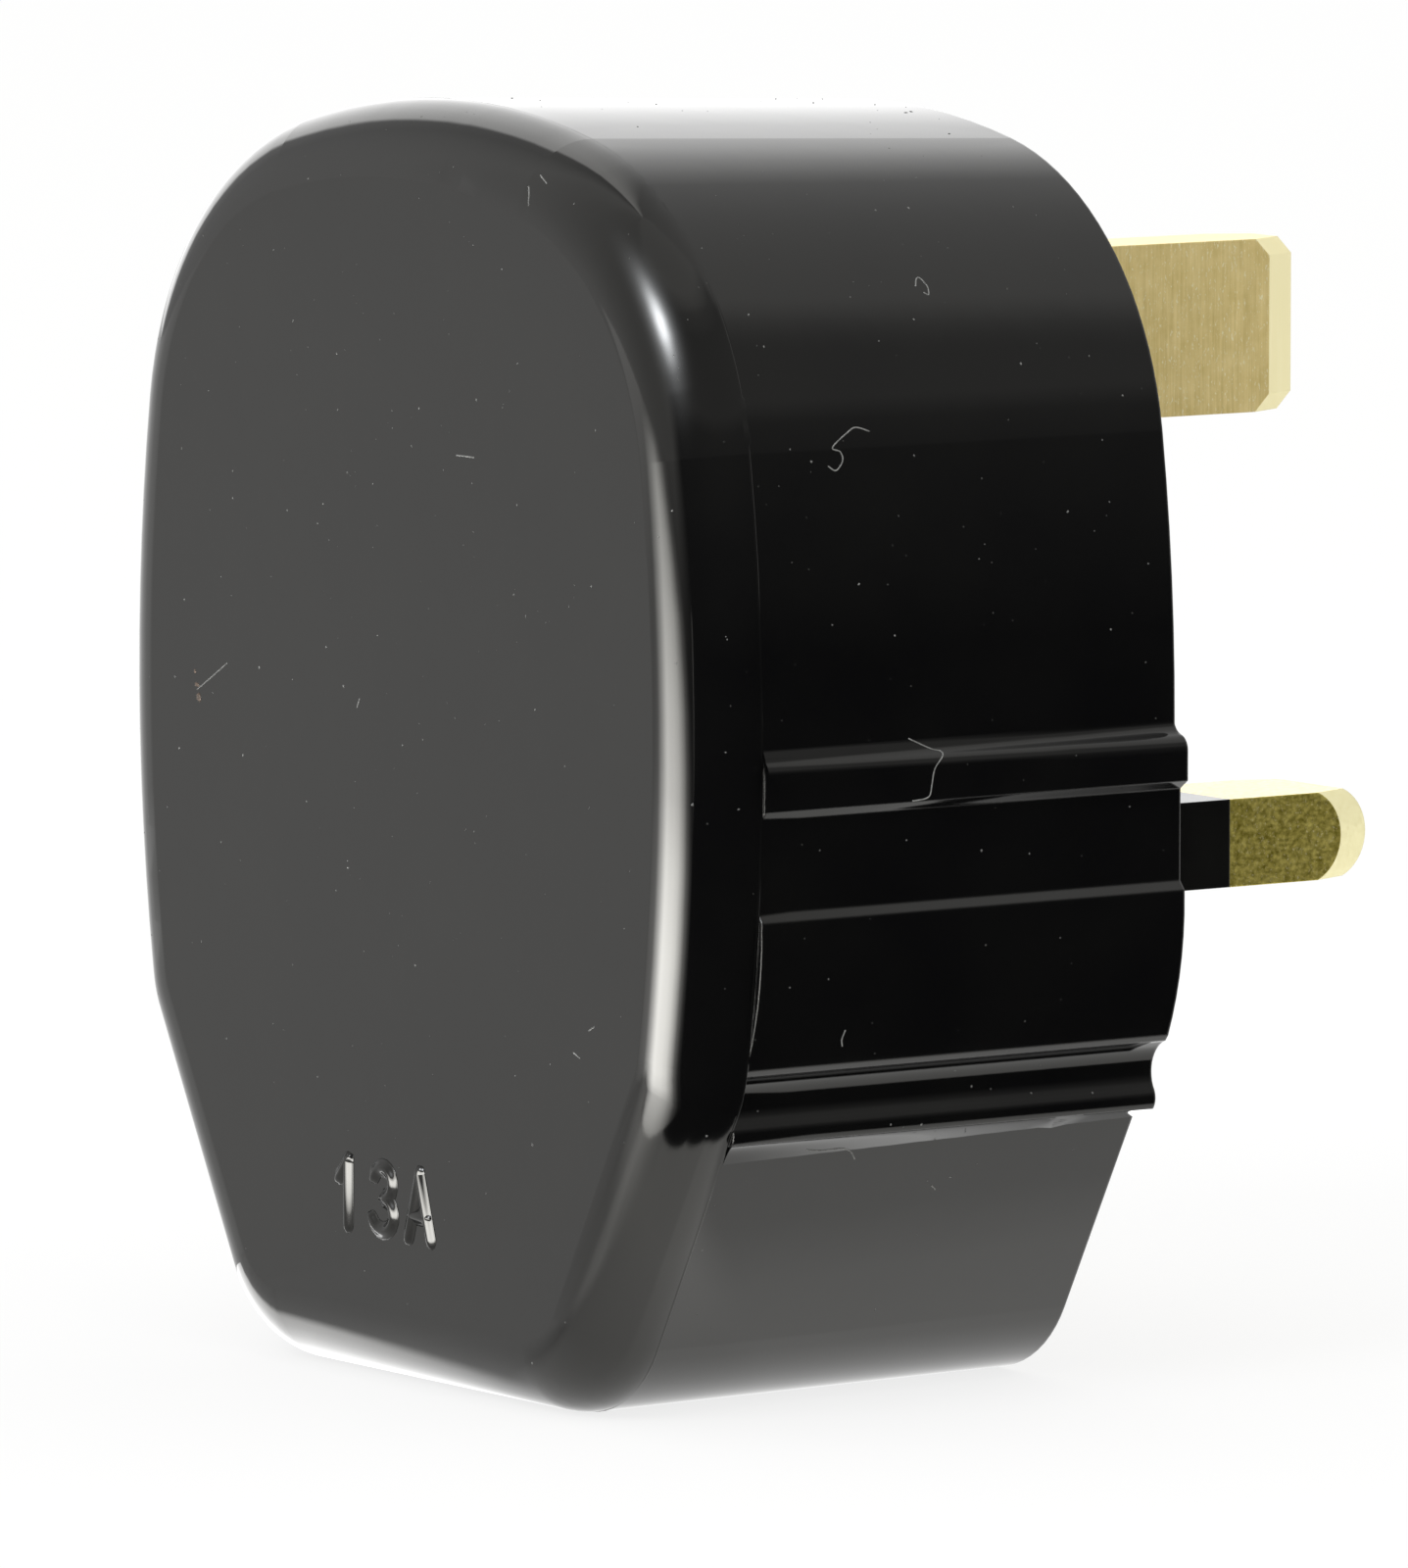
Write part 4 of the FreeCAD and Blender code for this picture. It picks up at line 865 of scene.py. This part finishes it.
# The bright slope: its middle, the azimuth and distance of its straight foot, and its reach
SLOPE_CENTRE = Vector((21, -25, 0))
SLOPE_LINE = (314, 12.9)
SLOPE_LONGEST = 70
SLOPE_FOOT = FLOOR + 0.3
SLOPE_FAR = (115, 27)
SLOPE_ENDS = (222, 292)
SLOPE_STEPS = 22

# Its levels, up it and from left to right: the higher it is, the sooner it ends on the right
SLOPE_TOP = 21
SLOPE_FADE = ((0.0, 0.3), (0.02, 0.5), (0.06, 0.85), (0.12, 1.0), (0.25, 1.0), (0.33, 0.88), (0.417, 0.64),
              (0.526, 0.56), (0.655, 0.42), (0.77, 0.32), (0.9, 0.12), (1.0, 0.03))
SLOPE_LEAN = ((0.0, 0.045), (0.1, 0.04), (0.25, 0.0), (0.33, 0.0), (0.526, 0.048), (0.655, 0.11),
              (0.77, 0.215), (1.0, 0.43))
SLOPE_LEFT = ((0.0, 0.06), (0.1, 0.1), (0.23, 0.44), (0.37, 1.0))
SLOPE_RIGHT = ((0.4, 1.0), (0.58, 0.95), (0.69, 0.8), (0.8, 0.42), (0.88, 0.13), (0.96, 0.03), (1.0, 0.01))
SLOPE_LEAST = ((0.2, 0.95), (0.4, 0.0))

# Its top runs into the white of the room behind it, except at its right end
SLOPE_WHITE = ((0.55, 0.0), (1.0, WHITE))
SLOPE_WHITE_ENDS = ((0.8, 1.0), (0.98, 0.1))


def near_glow(tree):
    """The floor close to the plug, with its bright strip along the foot."""
    source = coordinates(tree)
    x, y, z = split(tree, source)
    across = span(tree, x, -NEAR_HALF * MM, NEAR_HALF * MM)
    levels = []
    for row in (CORNER, BEHIND_STRIP, ON_STRIP, AHEAD_STRIP):
        stops = (((where + NEAR_HALF) / (2 * NEAR_HALF), level / NEAR_TOP) for where, level in row)
        levels.append(ramp(tree, across, *stops))
    slanted = math_node(tree, "SUBTRACT", y, math_node(tree, "MULTIPLY", x, STRIP_SLANT))
    steps = ((y, *CORNER_TO), (slanted, STRIP_EDGE - STRIP_SOFT, STRIP_EDGE + STRIP_SOFT), (y, *AHEAD_FROM))
    level = levels[0]
    for (value, low, high), ahead in zip(steps, levels[1:]):
        level = mix(tree, "FLOAT", span(tree, value, low * MM, high * MM, True), level, ahead)
    plain = math_node(tree, "MULTIPLY", level, NEAR_TOP)
    outward = vector_node(tree, "DOT_PRODUCT", source, around(SLOPE_LINE[0], 0, 1 / MM))
    start = SLOPE_CENTRE.dot(around(SLOPE_LINE[0], 0, 1))
    close = span(tree, outward, start + SLOPE_LINE[1] * RISE_FROM, start + SLOPE_LINE[1], True)
    beside = math_node(tree, "MULTIPLY", close, ramp(tree, across, *RISE_LEFT))
    return math_node(tree, "ADD", plain, math_node(tree, "MULTIPLY", beside, RISE))


def slope_glow(tree):
    """Bright in the middle of its sweep round the edge, fading to its sides and its top."""
    x, y, z = split(tree, coordinates(tree))
    angle = math_node(tree, "ARCTAN2", y, x)
    along = span(tree, angle, *(math.radians(each - 360) for each in SLOPE_ENDS))
    up = span(tree, z, SLOPE_FOOT * MM, SLOPE_FAR[1] * MM)
    leaning = math_node(tree, "ADD", along, ramp(tree, up, *SLOPE_LEAN))
    sweep = math_node(tree, "MULTIPLY", ramp(tree, along, *SLOPE_LEFT), ramp(tree, leaning, *SLOPE_RIGHT))
    faded = math_node(tree, "MULTIPLY", sweep, ramp(tree, up, *SLOPE_FADE))
    bright = math_node(tree, "MULTIPLY", faded, SLOPE_TOP)
    bright = math_node(tree, "MAXIMUM", bright, ramp(tree, along, *SLOPE_LEAST))
    white = math_node(tree, "MULTIPLY", ramp(tree, up, *SLOPE_WHITE), ramp(tree, along, *SLOPE_WHITE_ENDS))
    return math_node(tree, "ADD", bright, white)


flat_card("dark_floor", DARK_FLOOR, DARK_HEIGHT, glow_material("dark_floor", (DARK_LEVEL, PLAIN)))
flat_card("near_floor", NEAR_FLOOR, NEAR_HEIGHT, glow_material("near_floor", (near_glow, PLAIN)))
points = []
for step in range(SLOPE_STEPS + 1):
    azimuth = SLOPE_ENDS[0] + (SLOPE_ENDS[1] - SLOPE_ENDS[0]) * step / SLOPE_STEPS
    lean = math.cos(math.radians(SLOPE_LINE[0] - azimuth))
    nearest = SLOPE_LINE[1] / max(lean, SLOPE_LINE[1] / SLOPE_LONGEST)
    for radius, height in ((nearest, SLOPE_FOOT), SLOPE_FAR):
        points.append(around(azimuth, 0, radius) + Vector((0, 0, height)))
faces = [(2 * n, 2 * n + 1, 2 * n + 3, 2 * n + 2) for n in range(SLOPE_STEPS)]
slope = card("bright_slope", points, faces, glow_material("bright_slope", (slope_glow, PLAIN)))
slope.location = SLOPE_CENTRE * MM

WORLD_COLOUR = (1, 1, 0.985, 1)
WORLD_STRENGTH = 0.9
world = bpy.data.worlds.new("studio")
bpy.context.scene.world = world
world.use_nodes = True
world.node_tree.nodes["Background"].inputs["Color"].default_value = WORLD_COLOUR
world.node_tree.nodes["Background"].inputs["Strength"].default_value = WORLD_STRENGTH

# The key lamp: how far off and how wide it is, and its radiance
KEY_DISTANCE = 900
KEY_WIDE = 400
KEY_RADIANCE = 5
light = bpy.data.lights.new("key", "AREA")
light.shape = "DISK"
light.size = KEY_WIDE * MM
light.energy = KEY_RADIANCE * math.pi * math.pi * (KEY_WIDE * MM / 2) ** 2
key = bpy.data.objects.new("key", light)
bpy.context.collection.objects.link(key)
key.location = around(*LAMP, KEY_DISTANCE) * MM
key.rotation_mode = "QUATERNION"
key.rotation_quaternion = (-key.location).to_track_quat("-Z", "Y")
key.visible_glossy = False

# Camera: its place, its axes, and its focal length in pixels of a picture 1600 pixels high
CAMERA_PLACE = Vector((558.543, -397.510, 76.556))
CAMERA_RIGHT = Vector((0.57033, 0.82141, 0.00056))
CAMERA_UP = Vector((-0.08913, 0.06122, 0.99414))
FOCAL_PIXELS = 15415
PICTURE_HEIGHT = 1600
SENSOR_HEIGHT = 24
camera = bpy.data.cameras.new("camera")
camera.sensor_fit = "VERTICAL"
camera.sensor_height = SENSOR_HEIGHT
camera.lens = FOCAL_PIXELS * SENSOR_HEIGHT / PICTURE_HEIGHT
camera.clip_start = 0.01
camera.clip_end = 50
eye = bpy.data.objects.new("camera", camera)
bpy.context.collection.objects.link(eye)
back = CAMERA_RIGHT.cross(CAMERA_UP)
turn = Matrix((CAMERA_RIGHT, CAMERA_UP, back)).transposed().to_4x4()
eye.matrix_world = Matrix.Translation(CAMERA_PLACE * MM) @ turn
bpy.context.scene.camera = eye

bpy.context.scene.view_settings.view_transform = "Standard"
